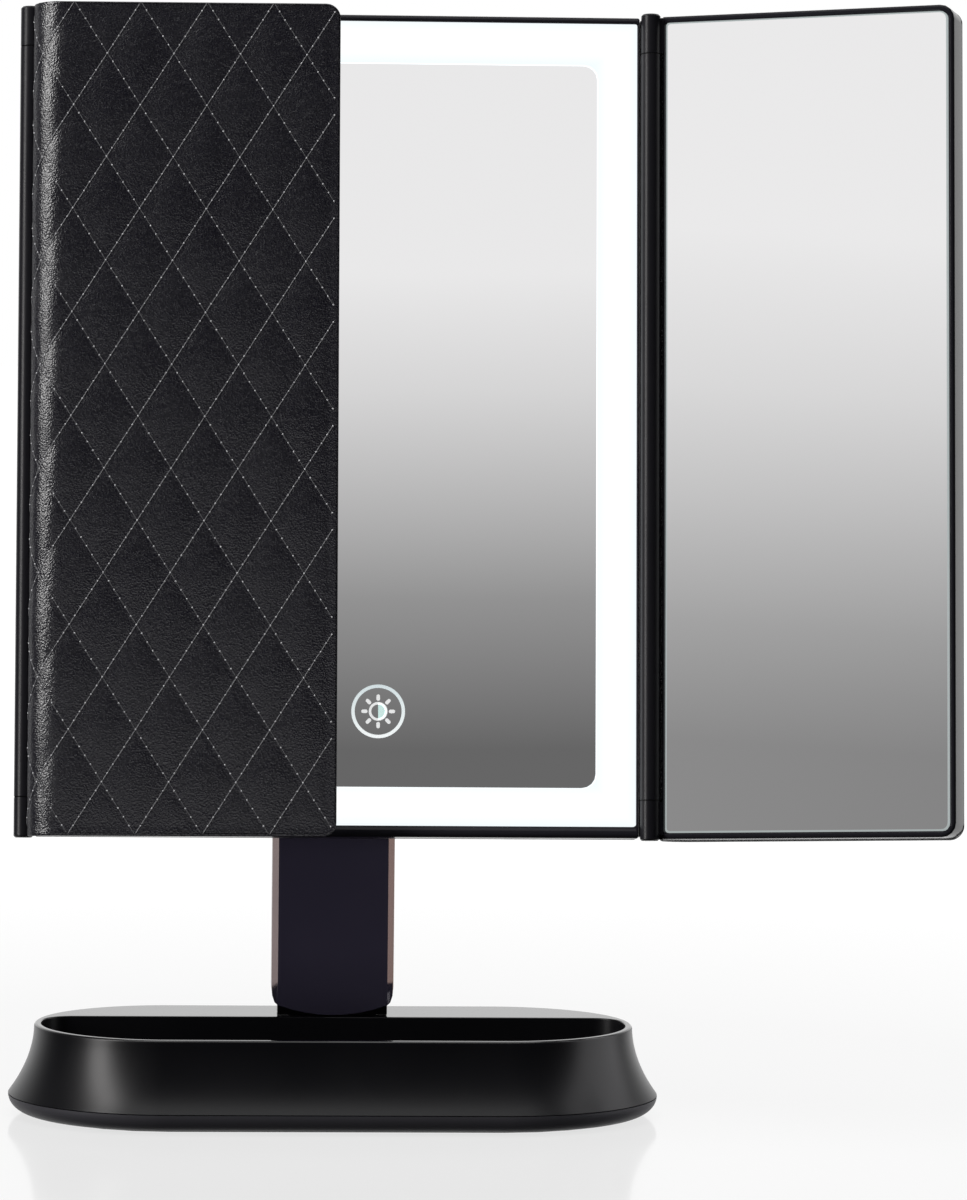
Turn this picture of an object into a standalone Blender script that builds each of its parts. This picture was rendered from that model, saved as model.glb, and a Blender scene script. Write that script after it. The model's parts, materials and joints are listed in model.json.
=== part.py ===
# Lighted tri-fold vanity mirror on a tray base.
# Lengths are in metres. X points right, Y away from the user and Z up.
# The origin is the middle of the footprint, on the table.

from math import atan2, ceil, cos, degrees, pi, radians, sin, sqrt

import bmesh
import bpy

MM = 0.001

# Fits shared by all the pieces
CLEARANCE = 0.3 * MM
OVERSHOOT = 1.0 * MM
ROUND_STEPS = 16
SCREW_STEPS = 10

# Tray base
BASE_WIDTH = 195.0 * MM
BASE_DEPTH = 95.8 * MM
BASE_FLARE = 7.7 * MM
BASE_WALL = 2.0 * MM
SEAM_HEIGHT = 6.2 * MM
RIM_HEIGHT = 27.2 * MM
RIM_WALL = 2.1 * MM
RIM_ROUND = 0.8 * MM
TRAY_DEPTH = 16.0 * MM
TRAY_ROUND = 3.0 * MM
TRAY_CORNER = 9.0 * MM
DECK_DEPTH = 26.5 * MM
DECK_THICKNESS = 4.0 * MM
FLARE_STEPS = 6
HOLLOW_STEPS = 3
END_STEPS = 12
CORNER_STEPS = 4

# Base plate, its pad, weight and screws
LIP_INSET = 7.0 * MM
LIP_WALL = 2.6 * MM
LIP_STEPS = 4
PAD_THICKNESS = 1.2 * MM
PAD_PROUD = 0.6 * MM
PAD_INSET = 9.0 * MM
PLATE_FLOOR = 2.5 * MM
WEIGHT_LENGTH = 112.0 * MM
WEIGHT_DEPTH = 40.0 * MM
WEIGHT_ROUND = 6.0 * MM
BOSS_RADIUS = 3.4 * MM
BASE_SCREW_RADIUS = 1.25 * MM
BASE_SCREW_HEAD_RADIUS = 2.6 * MM
BASE_SCREW_HEAD = 0.9 * MM
BASE_SCREW_BITE = 4.0 * MM
FRONT_SCREW_FROM_END = 25.5 * MM
FRONT_SCREW_SETBACK = 35.5 * MM
REAR_SCREW_FROM_END = 35.5 * MM
REAR_SCREW_INSET = 21.5 * MM

# Neck and its steel stem
NECK_WIDTH = 37.0 * MM
NECK_THICKNESS = 13.0 * MM
NECK_WALL = 1.6 * MM
NECK_CHAMFER = 1.9 * MM
NECK_SETBACK = 1.55 * MM
NECK_SAG = 3.0 * MM
NECK_CORNER = 5.5 * MM
COLLAR_HEIGHT = 6.0 * MM
STEM_WIDTH = 26.0 * MM
STEM_THICKNESS = 4.0 * MM
STEM_FOOT_LENGTH = 56.0 * MM
STEM_FOOT_THICKNESS = 3.0 * MM
STEM_KNUCKLE_WALL = 1.6 * MM
STEM_KNUCKLE_LENGTH = 30.0 * MM
STEM_SCREW_SPACING = 44.0 * MM
STEM_SCREW_RADIUS = 1.25 * MM
STEM_SCREW_HEAD_RADIUS = 2.8 * MM
STEM_SCREW_HEAD = 1.5 * MM
STEM_SCREW_BITE = 2.6 * MM

# Tilt joint
TILT_BACK = 8.07
PIVOT_HEIGHT = 135.7 * MM
PIVOT_DROP = 68.0 * MM
PIVOT_BEHIND = 16.0 * MM
AXLE_RADIUS = 2.5 * MM
AXLE_HEAD_RADIUS = 4.5 * MM
AXLE_HEAD = 2.5 * MM
NUT_RADIUS = 4.6 * MM
NUT_THICKNESS = 3.0 * MM
WASHER_THICKNESS = 0.8 * MM
WASHER_RADIUS = 5.5 * MM
EAR_THICKNESS = 4.0 * MM
EAR_RADIUS = 7.0 * MM
BRACKET_HEIGHT = 32.0 * MM
BRACKET_PLATE = 2.5 * MM
BRACKET_SCREW_WIDTH = 18.0 * MM
BRACKET_SCREW_HEIGHT = 22.0 * MM
BRACKET_SCREW_RADIUS = 1.1 * MM
BRACKET_SCREW_HEAD_RADIUS = 2.2 * MM
BRACKET_SCREW_HEAD = 1.4 * MM
BRACKET_SCREW_BITE = 4.2 * MM
BRACKET_BOSS_RADIUS = 2.8 * MM
BRACKET_BOSS_HEIGHT = 3.4 * MM

# Hinges of the wings
HINGE_SPACING = 186.0 * MM
HINGE_AHEAD = 1.0 * MM
BARREL_RADIUS = 2.9 * MM
BARREL_PROUD = 0.75 * MM
BARREL_EDGE = 0.5 * MM
KNUCKLE_HEIGHT = 12.0 * MM
LEAF_THICKNESS = 1.8 * MM
LEAF_DEPTH = 8.0 * MM
PIN_RADIUS = 1.2 * MM
PIN_REACH = 9.0 * MM
BUSH_WALL = 0.7 * MM
BUSH_LENGTH = 9.0 * MM
WEB_DEPTH = 3.0 * MM

# Centre panel
PANEL_HEIGHT = 246.9 * MM
FRAME_DEPTH = 7.5 * MM
FRAME_EDGE = 1.2 * MM
FRAME_SIDE_RIM = 0.5 * MM
FRAME_END_RIM = 2.5 * MM
LEDGE_SIDE = 3.4 * MM
LEDGE_END = 4.0 * MM
HOUSING_DEPTH = 16.0 * MM
HOUSING_WALL = 1.6 * MM
HOUSING_ROUND = 3.0 * MM
PANEL_CORNER = 0.6 * MM
GLASS_RECESS = 0.2 * MM
DIFFUSER_THICKNESS = 4.0 * MM
LIGHT_BAND = 12.1 * MM
BAND_RISE = 0.75 * MM
MIRROR_THICKNESS = 2.0 * MM
MIRROR_CORNER = 4.2 * MM
REFLECTOR_THICKNESS = 1.0 * MM
STRIP_WIDTH = 4.0 * MM
STRIP_THICKNESS = 1.0 * MM
STRIP_END_GAP = 5.0 * MM
CHIP_HEIGHT = 0.8 * MM
CHIP_LENGTH = 3.5 * MM
CHIP_PITCH = 17.0 * MM
TOUCH_X = 12.0 * MM
TOUCH_RISE = 37.4 * MM
TOUCH_RADIUS = 8.2 * MM
TOUCH_THICKNESS = 1.4 * MM
HOUSING_SCREW_SPACING = 156.0 * MM
HOUSING_SCREW_INSET = 3.2 * MM
HOUSING_SCREW_RADIUS = 1.0 * MM
HOUSING_SCREW_HEAD_RADIUS = 2.0 * MM
HOUSING_SCREW_HEAD = 1.0 * MM
HOUSING_SCREW_BITE = 2.2 * MM
POST_RADIUS = 2.8 * MM

# Electronics behind the reflector
BATTERY_WIDTH = 60.0 * MM
BATTERY_HEIGHT = 92.0 * MM
BATTERY_THICKNESS = 4.0 * MM
BATTERY_RISE = 50.0 * MM
BATTERY_ROUND = 1.5 * MM
BOARD_WIDTH = 40.0 * MM
BOARD_HEIGHT = 26.0 * MM
BOARD_THICKNESS = 1.2 * MM
BOARD_X = 55.0 * MM
BOARD_EDGE_GAP = 3.0 * MM
SOCKET_WIDTH = 9.0 * MM
SOCKET_DEPTH = 3.2 * MM
SOCKET_LENGTH = 7.3 * MM
SOCKET_WALL = 0.35 * MM
SOCKET_FLOOR = 1.0 * MM
TONGUE_WIDTH = 6.7 * MM
TONGUE_THICKNESS = 0.7 * MM
TONGUE_SHORTER = 1.2 * MM

# Wings
LEFT_FOLD = 179.0
RIGHT_FOLD = 19.0
WING_REACH = 92.5 * MM
WING_PROUD = 0.25 * MM
WING_THICKNESS = 13.0 * MM
WING_START = 3.5 * MM
WING_CORNER = 4.3 * MM
WING_EDGE = 0.9 * MM
WING_BACK_EDGE = 0.3 * MM
WING_RIM = 1.9 * MM
WING_HINGE_RIM = 0.9 * MM
WING_LEDGE = 3.0 * MM
WING_BACK_WALL = 1.6 * MM
WING_GLASS = 2.0 * MM
GLASS_CORNER = 2.4 * MM
GLASS_BEVEL = 0.5 * MM
SPINE_RADIUS = 9.0 * MM
SPINE_START = 1.3 * MM
SPINE_FOOT = 2.5 * MM
SPINE_STEPS = 5

# Quilted cover of a wing
COVER_THICKNESS = 3.0 * MM
COVER_RIM = 0.6 * MM
COVER_SINK = 0.25 * MM
QUILT_PITCH = 19.75 * MM
QUILT_ROWS = 8
QUILT_PUFF = 0.55 * MM
QUILT_DIVISIONS = 4

# Places that follow from the sizes
DECK_FRONT = BASE_DEPTH / 2 - BASE_FLARE - DECK_DEPTH
DECK_UNDERSIDE = RIM_HEIGHT - DECK_THICKNESS
TRAY_FLOOR = RIM_HEIGHT - TRAY_DEPTH
NECK_Y = DECK_FRONT + NECK_SETBACK + NECK_THICKNESS / 2
PAD_SEAT = PAD_THICKNESS + CLEARANCE
PLATE_TOP = PAD_SEAT + PLATE_FLOOR
SHELL_FOOT = SEAM_HEIGHT + CLEARANCE / 2
LIP_TOP = SEAM_HEIGHT - CLEARANCE / 2
AXLE_BORE = AXLE_RADIUS + CLEARANCE
EAR_INNER = NECK_WIDTH / 2 + WASHER_THICKNESS + 2 * CLEARANCE
EAR_OUTER = EAR_INNER + EAR_THICKNESS
HINGE_X = HINGE_SPACING / 2
BARREL_HEIGHT = PANEL_HEIGHT + 2 * BARREL_PROUD
WING_HEIGHT = PANEL_HEIGHT + 2 * WING_PROUD
TOUCH_Z = TOUCH_RISE - PANEL_HEIGHT / 2
PANEL_WIDTH = HINGE_SPACING - 2 * (BARREL_RADIUS + CLEARANCE)
PIVOT_Y = HOUSING_DEPTH + PIVOT_BEHIND
HOUSING_FRONT = FRAME_DEPTH + CLEARANCE
HOUSING_FLOOR = HOUSING_DEPTH - HOUSING_WALL
DIFFUSER_WIDTH = PANEL_WIDTH - 2 * (FRAME_SIDE_RIM + CLEARANCE)
DIFFUSER_HEIGHT = PANEL_HEIGHT - 2 * (FRAME_END_RIM + CLEARANCE)
DIFFUSER_BACK = GLASS_RECESS + DIFFUSER_THICKNESS
MIRROR_WIDTH = DIFFUSER_WIDTH - 2 * LIGHT_BAND
MIRROR_HEIGHT = DIFFUSER_HEIGHT - 2 * LIGHT_BAND
MIRROR_BACK = GLASS_RECESS + MIRROR_THICKNESS
OPENING_WIDTH = DIFFUSER_WIDTH - 2 * LEDGE_SIDE
OPENING_HEIGHT = DIFFUSER_HEIGHT - 2 * LEDGE_END
KNUCKLE_FACE = BARREL_HEIGHT / 2 - KNUCKLE_HEIGHT
PIN_BORE = PIN_RADIUS + CLEARANCE
BUSH_RADIUS = PIN_BORE + BUSH_WALL
BUSH_BORE = BUSH_RADIUS + CLEARANCE
COVER_FLOOR = WING_THICKNESS - COVER_THICKNESS
SPINE_CENTRE = (SPINE_START + SPINE_RADIUS, WING_THICKNESS - SPINE_RADIUS)
COVER_END = WING_REACH - COVER_RIM
COVER_HALF = WING_HEIGHT / 2 - COVER_RIM


def clear_scene():
    for thing in list(bpy.data.objects):
        bpy.data.objects.remove(thing, do_unlink=True)


def material(name, colour, roughness, metallic=0.0):
    found = bpy.data.materials.get(name)
    if found:
        return found
    made = bpy.data.materials.new(name)
    made.use_nodes = True
    shader = made.node_tree.nodes["Principled BSDF"]
    shader.inputs["Base Color"].default_value = (*colour, 1.0)
    shader.inputs["Roughness"].default_value = roughness
    shader.inputs["Metallic"].default_value = metallic
    made.diffuse_color = (*colour, 1.0)
    return made


def gloss_black():
    return material("gloss_black", (0.012, 0.012, 0.016), 0.12)


def satin_black():
    return material("satin_black", (0.02, 0.02, 0.022), 0.4)


def steel():
    return material("steel", (0.55, 0.55, 0.56), 0.32, 1.0)


def silvered_glass():
    return material("silvered_glass", (0.9, 0.91, 0.92), 0.02, 1.0)


def leatherette():
    return material("leatherette", (0.017, 0.016, 0.02), 0.5)


# Outlines are lists of flat points that run anticlockwise.

def arc(centre, radius, first, last, steps):
    angles = [radians(first + (last - first) * k / steps) for k in range(steps + 1)]
    return [(centre[0] + radius * cos(a), centre[1] + radius * sin(a)) for a in angles]


def circle(radius, steps=ROUND_STEPS):
    return arc((0, 0), radius, 0, 360, steps)[:-1]


def rectangle(left, right, low, high):
    return [(left, low), (right, low), (right, high), (left, high)]


def rounded(left, right, low, high, left_round, right_round, steps=4):
    """Rectangle whose two left and two right corners have their own radius."""
    points = arc((left + left_round, low + left_round), left_round, 180, 270, steps)
    points += arc((right - right_round, low + right_round), right_round, 270, 360, steps)
    points += arc((right - right_round, high - right_round), right_round, 0, 90, steps)
    points += arc((left + left_round, high - left_round), left_round, 90, 180, steps)
    return points


def panel_outline(width, height, corner):
    return rounded(-width / 2, width / 2, -height / 2, height / 2, corner, corner)


def stadium(inset):
    """Base outline at the seam, drawn in by an inset."""
    end = BASE_DEPTH / 2
    middle = BASE_WIDTH / 2 - end
    right = arc((middle, 0), end - inset, -90, 90, END_STEPS)
    left = arc((-middle, 0), end - inset, 90, 270, END_STEPS)
    return right + left


def tray_outline(inset):
    """Tray recess: the rim's outline, turned by round corners into a straight edge along the deck."""
    end = BASE_DEPTH / 2
    middle = BASE_WIDTH / 2 - end
    radius = end - BASE_FLARE - RIM_WALL - inset
    corner = TRAY_CORNER - inset
    back = DECK_FRONT - TRAY_CORNER
    across = sqrt((radius - corner) ** 2 - back ** 2)
    turn = degrees(atan2(back, across))
    right = arc((middle, 0), radius, -90, turn, END_STEPS)
    right += arc((middle + across, back), corner, turn, 90, CORNER_STEPS)[1:]
    return right + [(-x, y) for x, y in reversed(right)]


# Solids are bmeshes built from outlines. An outline's plane is named by the axis it faces.

def lifted(outline, axis, level):
    if axis == "X":
        return [(level, a, b) for a, b in outline]
    if axis == "Y":
        return [(a, level, b) for a, b in outline]
    return [(a, b, level) for a, b in outline]


def skin(rings, ring_shaped=False):
    """Solid through rings of equal count, capped at both ends unless it closes on itself."""
    mesh = bmesh.new()
    ring = [mesh.verts.new(point) for point in rings[0]]
    edges = [mesh.edges.new((ring[k - 1], ring[k])) for k in range(len(ring))]
    if not ring_shaped:
        mesh.faces.new(ring)
    for points in rings[1:]:
        made = bmesh.ops.extrude_edge_only(mesh, edges=edges)["geom"]
        fresh = {item for item in made if isinstance(item, bmesh.types.BMVert)}
        lines = [item for item in made if isinstance(item, bmesh.types.BMEdge)]
        edges = [line for line in lines if fresh.issuperset(line.verts)]
        ring = [next(e.other_vert(v) for e in v.link_edges if e.other_vert(v) in fresh) for v in ring]
        for vertex, point in zip(ring, points):
            vertex.co = point
    if not ring_shaped:
        mesh.faces.new(ring)
    bmesh.ops.remove_doubles(mesh, verts=mesh.verts, dist=0.000001)
    bmesh.ops.recalc_face_normals(mesh, faces=mesh.faces)
    return mesh


def slab(outline, axis, low, high):
    return skin([lifted(outline, axis, low), lifted(outline, axis, high)])


def block(x, y, z):
    return slab(rectangle(*x, *y), "Z", *z)


def shift(mesh, x=0.0, y=0.0, z=0.0):
    bmesh.ops.translate(mesh, verts=mesh.verts, vec=(x, y, z))
    return mesh


def turned(profile, axis, steps=ROUND_STEPS):
    """Round solid from pairs of radius and level along an axis."""
    return skin([lifted(circle(radius, steps), axis, level) for radius, level in profile])


def rod(radius, axis, low, high, steps=ROUND_STEPS):
    return turned([(radius, low), (radius, high)], axis, steps)


def tube(outer, inner, axis, low, high):
    profile = [(outer, low), (outer, high), (inner, high), (inner, low), (outer, low)]
    return skin([lifted(circle(radius), axis, level) for radius, level in profile], True)


def screw(head_radius, head, radius, length, axis, direction):
    """Screw whose head's bearing face is at level zero and whose shank runs along direction."""
    low_head = -direction * head
    tip = direction * length
    profile = [(head_radius * 0.8, low_head), (head_radius, low_head * 0.7), (head_radius, 0.0)]
    profile += [(radius, 0.0), (radius, tip - direction * radius / 2), (radius * 0.6, tip)]
    return turned(profile, axis, SCREW_STEPS)


def piece(name, mesh, look, parent=None, smooth_angle=35):
    data = bpy.data.meshes.new(name)
    mesh.to_mesh(data)
    mesh.free()
    data.materials.append(look)
    data.shade_smooth()
    data.set_sharp_from_angle(angle=radians(smooth_angle))
    made = bpy.data.objects.new(name, data)
    bpy.context.scene.collection.objects.link(made)
    made.parent = parent
    return made


def tool(name, mesh, parent=None):
    """Hidden solid that only shapes another piece."""
    made = piece(name, mesh, satin_black(), parent)
    made.hide_render = True
    made.display_type = "WIRE"
    return made


def shape(target, operation, *meshes):
    for mesh in meshes:
        other = mesh
        if not isinstance(mesh, bpy.types.Object):
            other = tool(f"{target.name}_tool_{len(target.modifiers)}", mesh, target.parent)
        change = target.modifiers.new(operation.lower(), "BOOLEAN")
        change.operation = operation
        change.solver = "EXACT"
        change.object = other
    return target


def cut(target, *meshes):
    return shape(target, "DIFFERENCE", *meshes)


def join(target, *meshes):
    return shape(target, "UNION", *meshes)


def keep_inside(target, *meshes):
    return shape(target, "INTERSECT", *meshes)


def empty(name, location, parent=None, rotation=(0.0, 0.0, 0.0)):
    made = bpy.data.objects.new(name, None)
    bpy.context.scene.collection.objects.link(made)
    made.parent = parent
    made.location = location
    made.rotation_euler = rotation
    return made


def mirrored_pairs(spacing):
    return (("left", -spacing / 2), ("right", spacing / 2))


# Base

def flare_rings(inset, low, high, steps):
    """Rings of the flared wall between two heights. The wall widens with the square of its drop."""
    rings = []
    for k in range(steps + 1):
        height = low + (high - low) * k / steps
        drop = (RIM_HEIGHT - height) / (RIM_HEIGHT - SHELL_FOOT)
        rings.append(lifted(stadium(inset + BASE_FLARE * (1 - drop * drop)), "Z", height))
    return rings


def base_screw_places():
    front = -BASE_DEPTH / 2 + FRONT_SCREW_SETBACK
    rear = BASE_DEPTH / 2 - REAR_SCREW_INSET
    front_spacing = BASE_WIDTH - 2 * FRONT_SCREW_FROM_END
    rear_spacing = BASE_WIDTH - 2 * REAR_SCREW_FROM_END
    places = [(f"base_screw_front_{side}", x, front) for side, x in mirrored_pairs(front_spacing)]
    places += [(f"base_screw_rear_{side}", x, rear) for side, x in mirrored_pairs(rear_spacing)]
    return places


def base_shell():
    rings = flare_rings(0.0, SHELL_FOOT, RIM_HEIGHT - RIM_ROUND, FLARE_STEPS)
    rings.append(lifted(stadium(BASE_FLARE + RIM_ROUND * 0.3), "Z", RIM_HEIGHT - RIM_ROUND * 0.3))
    rings.append(lifted(stadium(BASE_FLARE + RIM_ROUND), "Z", RIM_HEIGHT))
    shell = piece("base_shell", skin(rings), gloss_black())

    tray = [lifted(tray_outline(0.0), "Z", RIM_HEIGHT + OVERSHOOT)]
    for angle in (0, 30, 60, 90):
        inset = TRAY_ROUND * (1 - cos(radians(angle)))
        level = TRAY_FLOOR + TRAY_ROUND * (1 - sin(radians(angle)))
        tray.append(lifted(tray_outline(inset), "Z", level))

    hollow_rings = flare_rings(BASE_WALL, SEAM_HEIGHT - OVERSHOOT, DECK_UNDERSIDE, HOLLOW_STEPS)
    hollow = tool("base_hollow", skin(hollow_rings))
    cut(hollow, slab(tray_outline(-BASE_WALL), "Z", TRAY_FLOOR - BASE_WALL, RIM_HEIGHT))
    for _, x, y in base_screw_places():
        cut(hollow, shift(rod(BOSS_RADIUS, "Z", 0.0, RIM_HEIGHT), x, y))

    cut(shell, skin(tray), hollow)
    for _, x, y in base_screw_places():
        reach = SHELL_FOOT + BASE_SCREW_BITE + CLEARANCE
        cut(shell, shift(rod(BASE_SCREW_RADIUS + CLEARANCE, "Z", 0.0, reach, SCREW_STEPS), x, y))

    half_width = STEM_WIDTH / 2 + CLEARANCE
    half_depth = STEM_THICKNESS / 2 + CLEARANCE
    cut(shell, block(
        (-half_width, half_width),
        (NECK_Y - half_depth, NECK_Y + half_depth),
        (DECK_UNDERSIDE - OVERSHOOT, RIM_HEIGHT + OVERSHOOT),
    ))
    for _, x in mirrored_pairs(STEM_SCREW_SPACING):
        reach = DECK_UNDERSIDE + STEM_SCREW_BITE + CLEARANCE
        pilot = rod(STEM_SCREW_RADIUS + CLEARANCE, "Z", DECK_UNDERSIDE - OVERSHOOT, reach, SCREW_STEPS)
        cut(shell, shift(pilot, x, NECK_Y))


def base_plate():
    rings = []
    for k in range(LIP_STEPS + 1):
        angle = pi / 2 * (1 - k / LIP_STEPS)
        level = LIP_TOP - (LIP_TOP - PAD_PROUD) * sin(angle)
        rings.append(lifted(stadium(LIP_INSET * (1 - cos(angle))), "Z", level))
    rings.append(lifted(stadium(LIP_WALL), "Z", LIP_TOP))
    rings.append(lifted(stadium(LIP_WALL), "Z", PLATE_TOP))
    plate = piece("base_plate", skin(rings), satin_black())
    for _, x, y in base_screw_places():
        join(plate, shift(rod(BOSS_RADIUS, "Z", PLATE_TOP - OVERSHOOT, LIP_TOP), x, y))
    cut(plate, slab(stadium(PAD_INSET), "Z", PAD_PROUD - OVERSHOOT, PAD_SEAT))
    head_seat = PAD_SEAT + BASE_SCREW_HEAD + CLEARANCE
    for name, x, y in base_screw_places():
        hole = turned([
            (BASE_SCREW_HEAD_RADIUS + CLEARANCE, PAD_SEAT - OVERSHOOT),
            (BASE_SCREW_HEAD_RADIUS + CLEARANCE, head_seat),
            (BASE_SCREW_RADIUS + CLEARANCE, head_seat),
            (BASE_SCREW_RADIUS + CLEARANCE, SEAM_HEIGHT + OVERSHOOT),
        ], "Z", SCREW_STEPS)
        cut(plate, shift(hole, x, y))
        bearing = head_seat - CLEARANCE
        length = SHELL_FOOT + BASE_SCREW_BITE - bearing
        fixing = screw(BASE_SCREW_HEAD_RADIUS, BASE_SCREW_HEAD, BASE_SCREW_RADIUS, length, "Z", 1)
        piece(name, shift(fixing, x, y, bearing), steel())


def base_pad():
    rubber = material("pad_rubber", (0.015, 0.015, 0.015), 0.85)
    piece("base_pad", slab(stadium(PAD_INSET + CLEARANCE), "Z", 0.0, PAD_THICKNESS), rubber)


def ballast_plate():
    rear = DECK_FRONT - CLEARANCE
    half = WEIGHT_LENGTH / 2
    outline = rounded(-half, half, rear - WEIGHT_DEPTH, rear, WEIGHT_ROUND, WEIGHT_ROUND, 3)
    weight = slab(outline, "Z", PLATE_TOP + CLEARANCE, TRAY_FLOOR - BASE_WALL - CLEARANCE)
    piece("ballast_plate", weight, material("ballast_iron", (0.12, 0.12, 0.125), 0.6, 1.0))


# Neck

def neck_side(inset, foot):
    """Side view of the neck: straight up from its foot to a round top about the tilt axis."""
    half = NECK_THICKNESS / 2 - inset
    top = arc((NECK_Y, PIVOT_HEIGHT), half, 0, 180, 10)
    return [(NECK_Y - half, foot), (NECK_Y + half, foot)] + top


def neck_front(top):
    """Front view of the neck: a bowed lower edge with round corners."""
    foot = RIM_HEIGHT + CLEARANCE
    half = NECK_WIDTH / 2
    bow = half - NECK_CHAMFER
    lower = [bow * k / 4 for k in range(-4, 5)]
    points = [(x, foot + NECK_SAG * (x / bow) ** 2) for x in lower]
    corner = foot + NECK_SAG + NECK_CORNER
    turn = [radians(angle) for angle in (30, 60, 90)]
    right = [(bow + NECK_CHAMFER * sin(a), corner - NECK_CORNER * cos(a)) for a in turn]
    left = [(-x, z) for x, z in reversed(right)]
    return left + points + right + [(half, top), (-half, top)]


def neck_shell(name, front):
    half = NECK_WIDTH / 2
    foot = RIM_HEIGHT
    body = skin([
        lifted(neck_side(NECK_CHAMFER, foot), "X", -half),
        lifted(neck_side(0.0, foot), "X", NECK_CHAMFER - half),
        lifted(neck_side(0.0, foot), "X", half - NECK_CHAMFER),
        lifted(neck_side(NECK_CHAMFER, foot), "X", half),
    ])
    shell = piece(name, body, gloss_black())
    top = PIVOT_HEIGHT + NECK_THICKNESS
    keep_inside(shell, slab(neck_front(top), "Y", NECK_Y - NECK_THICKNESS, NECK_Y + NECK_THICKNESS))
    inner = half - NECK_WALL
    cut(shell, slab(neck_side(NECK_WALL, foot - OVERSHOOT), "X", -inner, inner))
    cut(shell, shift(rod(AXLE_BORE, "X", -NECK_WIDTH, NECK_WIDTH), y=NECK_Y, z=PIVOT_HEIGHT))
    split = (NECK_Y - CLEARANCE / 2, NECK_Y + NECK_THICKNESS)
    if not front:
        split = (NECK_Y - NECK_THICKNESS, NECK_Y + CLEARANCE / 2)
    cut(shell, block((-NECK_WIDTH, NECK_WIDTH), split, (0.0, top)))


def neck_collar():
    half_width = NECK_WIDTH / 2 - NECK_WALL - CLEARANCE
    half_depth = NECK_THICKNESS / 2 - NECK_WALL - CLEARANCE
    foot = RIM_HEIGHT + CLEARANCE
    outer = block(
        (-half_width, half_width),
        (NECK_Y - half_depth, NECK_Y + half_depth),
        (foot, foot + COLLAR_HEIGHT),
    )
    collar = piece("neck_collar", outer, satin_black())
    slot_width = STEM_WIDTH / 2 + CLEARANCE
    slot_depth = STEM_THICKNESS / 2 + CLEARANCE
    cut(collar, block(
        (-slot_width, slot_width),
        (NECK_Y - slot_depth, NECK_Y + slot_depth),
        (foot - OVERSHOOT, foot + COLLAR_HEIGHT + OVERSHOOT),
    ))


def neck_stem():
    foot_top = DECK_UNDERSIDE - CLEARANCE
    foot_low = foot_top - STEM_FOOT_THICKNESS
    half_foot = STEM_FOOT_LENGTH / 2
    foot_depth = NECK_THICKNESS / 2 - NECK_WALL
    foot = block((-half_foot, half_foot), (NECK_Y - foot_depth, NECK_Y + foot_depth), (foot_low, foot_top))
    stem = piece("neck_stem", foot, steel())
    half_thickness = STEM_THICKNESS / 2
    blade = block(
        (-STEM_WIDTH / 2, STEM_WIDTH / 2),
        (NECK_Y - half_thickness, NECK_Y + half_thickness),
        (foot_low + OVERSHOOT, PIVOT_HEIGHT),
    )
    half_knuckle = STEM_KNUCKLE_LENGTH / 2
    knuckle = rod(AXLE_BORE + STEM_KNUCKLE_WALL, "X", -half_knuckle, half_knuckle)
    join(stem, blade, shift(knuckle, y=NECK_Y, z=PIVOT_HEIGHT))
    bore = rod(AXLE_BORE, "X", -NECK_WIDTH / 2, NECK_WIDTH / 2)
    cut(stem, shift(bore, y=NECK_Y, z=PIVOT_HEIGHT))
    for side, x in mirrored_pairs(STEM_SCREW_SPACING):
        hole_radius = STEM_SCREW_RADIUS + CLEARANCE
        hole = rod(hole_radius, "Z", foot_low - OVERSHOOT, foot_top + OVERSHOOT, SCREW_STEPS)
        cut(stem, shift(hole, x, NECK_Y))
        bearing = foot_low - CLEARANCE
        length = DECK_UNDERSIDE + STEM_SCREW_BITE - bearing
        fixing = screw(STEM_SCREW_HEAD_RADIUS, STEM_SCREW_HEAD, STEM_SCREW_RADIUS, length, "Z", 1)
        piece(f"stem_screw_{side}", shift(fixing, x, NECK_Y, bearing), steel())


# Tilt joint. These pieces are modelled about the tilt axis.

def tilt_bracket(pivot):
    back = CLEARANCE - PIVOT_BEHIND
    plate = back + BRACKET_PLATE
    fork = [
        (-EAR_OUTER, back), (EAR_OUTER, back), (EAR_OUTER, 2 * EAR_RADIUS), (EAR_INNER, 2 * EAR_RADIUS),
        (EAR_INNER, plate), (-EAR_INNER, plate), (-EAR_INNER, 2 * EAR_RADIUS), (-EAR_OUTER, 2 * EAR_RADIUS),
    ]
    half = BRACKET_HEIGHT / 2
    body = slab(fork, "Z", -half - OVERSHOOT, half + OVERSHOOT)
    bracket = piece("tilt_bracket", body, satin_black(), pivot)
    side = [(back - OVERSHOOT, half), (back - OVERSHOOT, -half), (plate, -half)]
    side += arc((0, 0), EAR_RADIUS, -60, 60, 8) + [(plate, half)]
    keep_inside(bracket, slab(side, "X", -2 * EAR_OUTER, 2 * EAR_OUTER))
    cut(bracket, rod(AXLE_BORE, "X", -2 * EAR_OUTER, 2 * EAR_OUTER))
    for row, z in (("lower", -BRACKET_SCREW_HEIGHT / 2), ("upper", BRACKET_SCREW_HEIGHT / 2)):
        for hand, x in mirrored_pairs(BRACKET_SCREW_WIDTH):
            hole_radius = BRACKET_SCREW_RADIUS + CLEARANCE
            hole = rod(hole_radius, "Y", back - OVERSHOOT, plate + OVERSHOOT, SCREW_STEPS)
            cut(bracket, shift(hole, x, z=z))
            bearing = plate + CLEARANCE
            length = bearing + PIVOT_BEHIND + BRACKET_SCREW_BITE
            fixing = screw(
                BRACKET_SCREW_HEAD_RADIUS, BRACKET_SCREW_HEAD, BRACKET_SCREW_RADIUS, length, "Y", -1)
            piece(f"bracket_screw_{row}_{hand}", shift(fixing, x, bearing, z), steel(), pivot)


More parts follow.
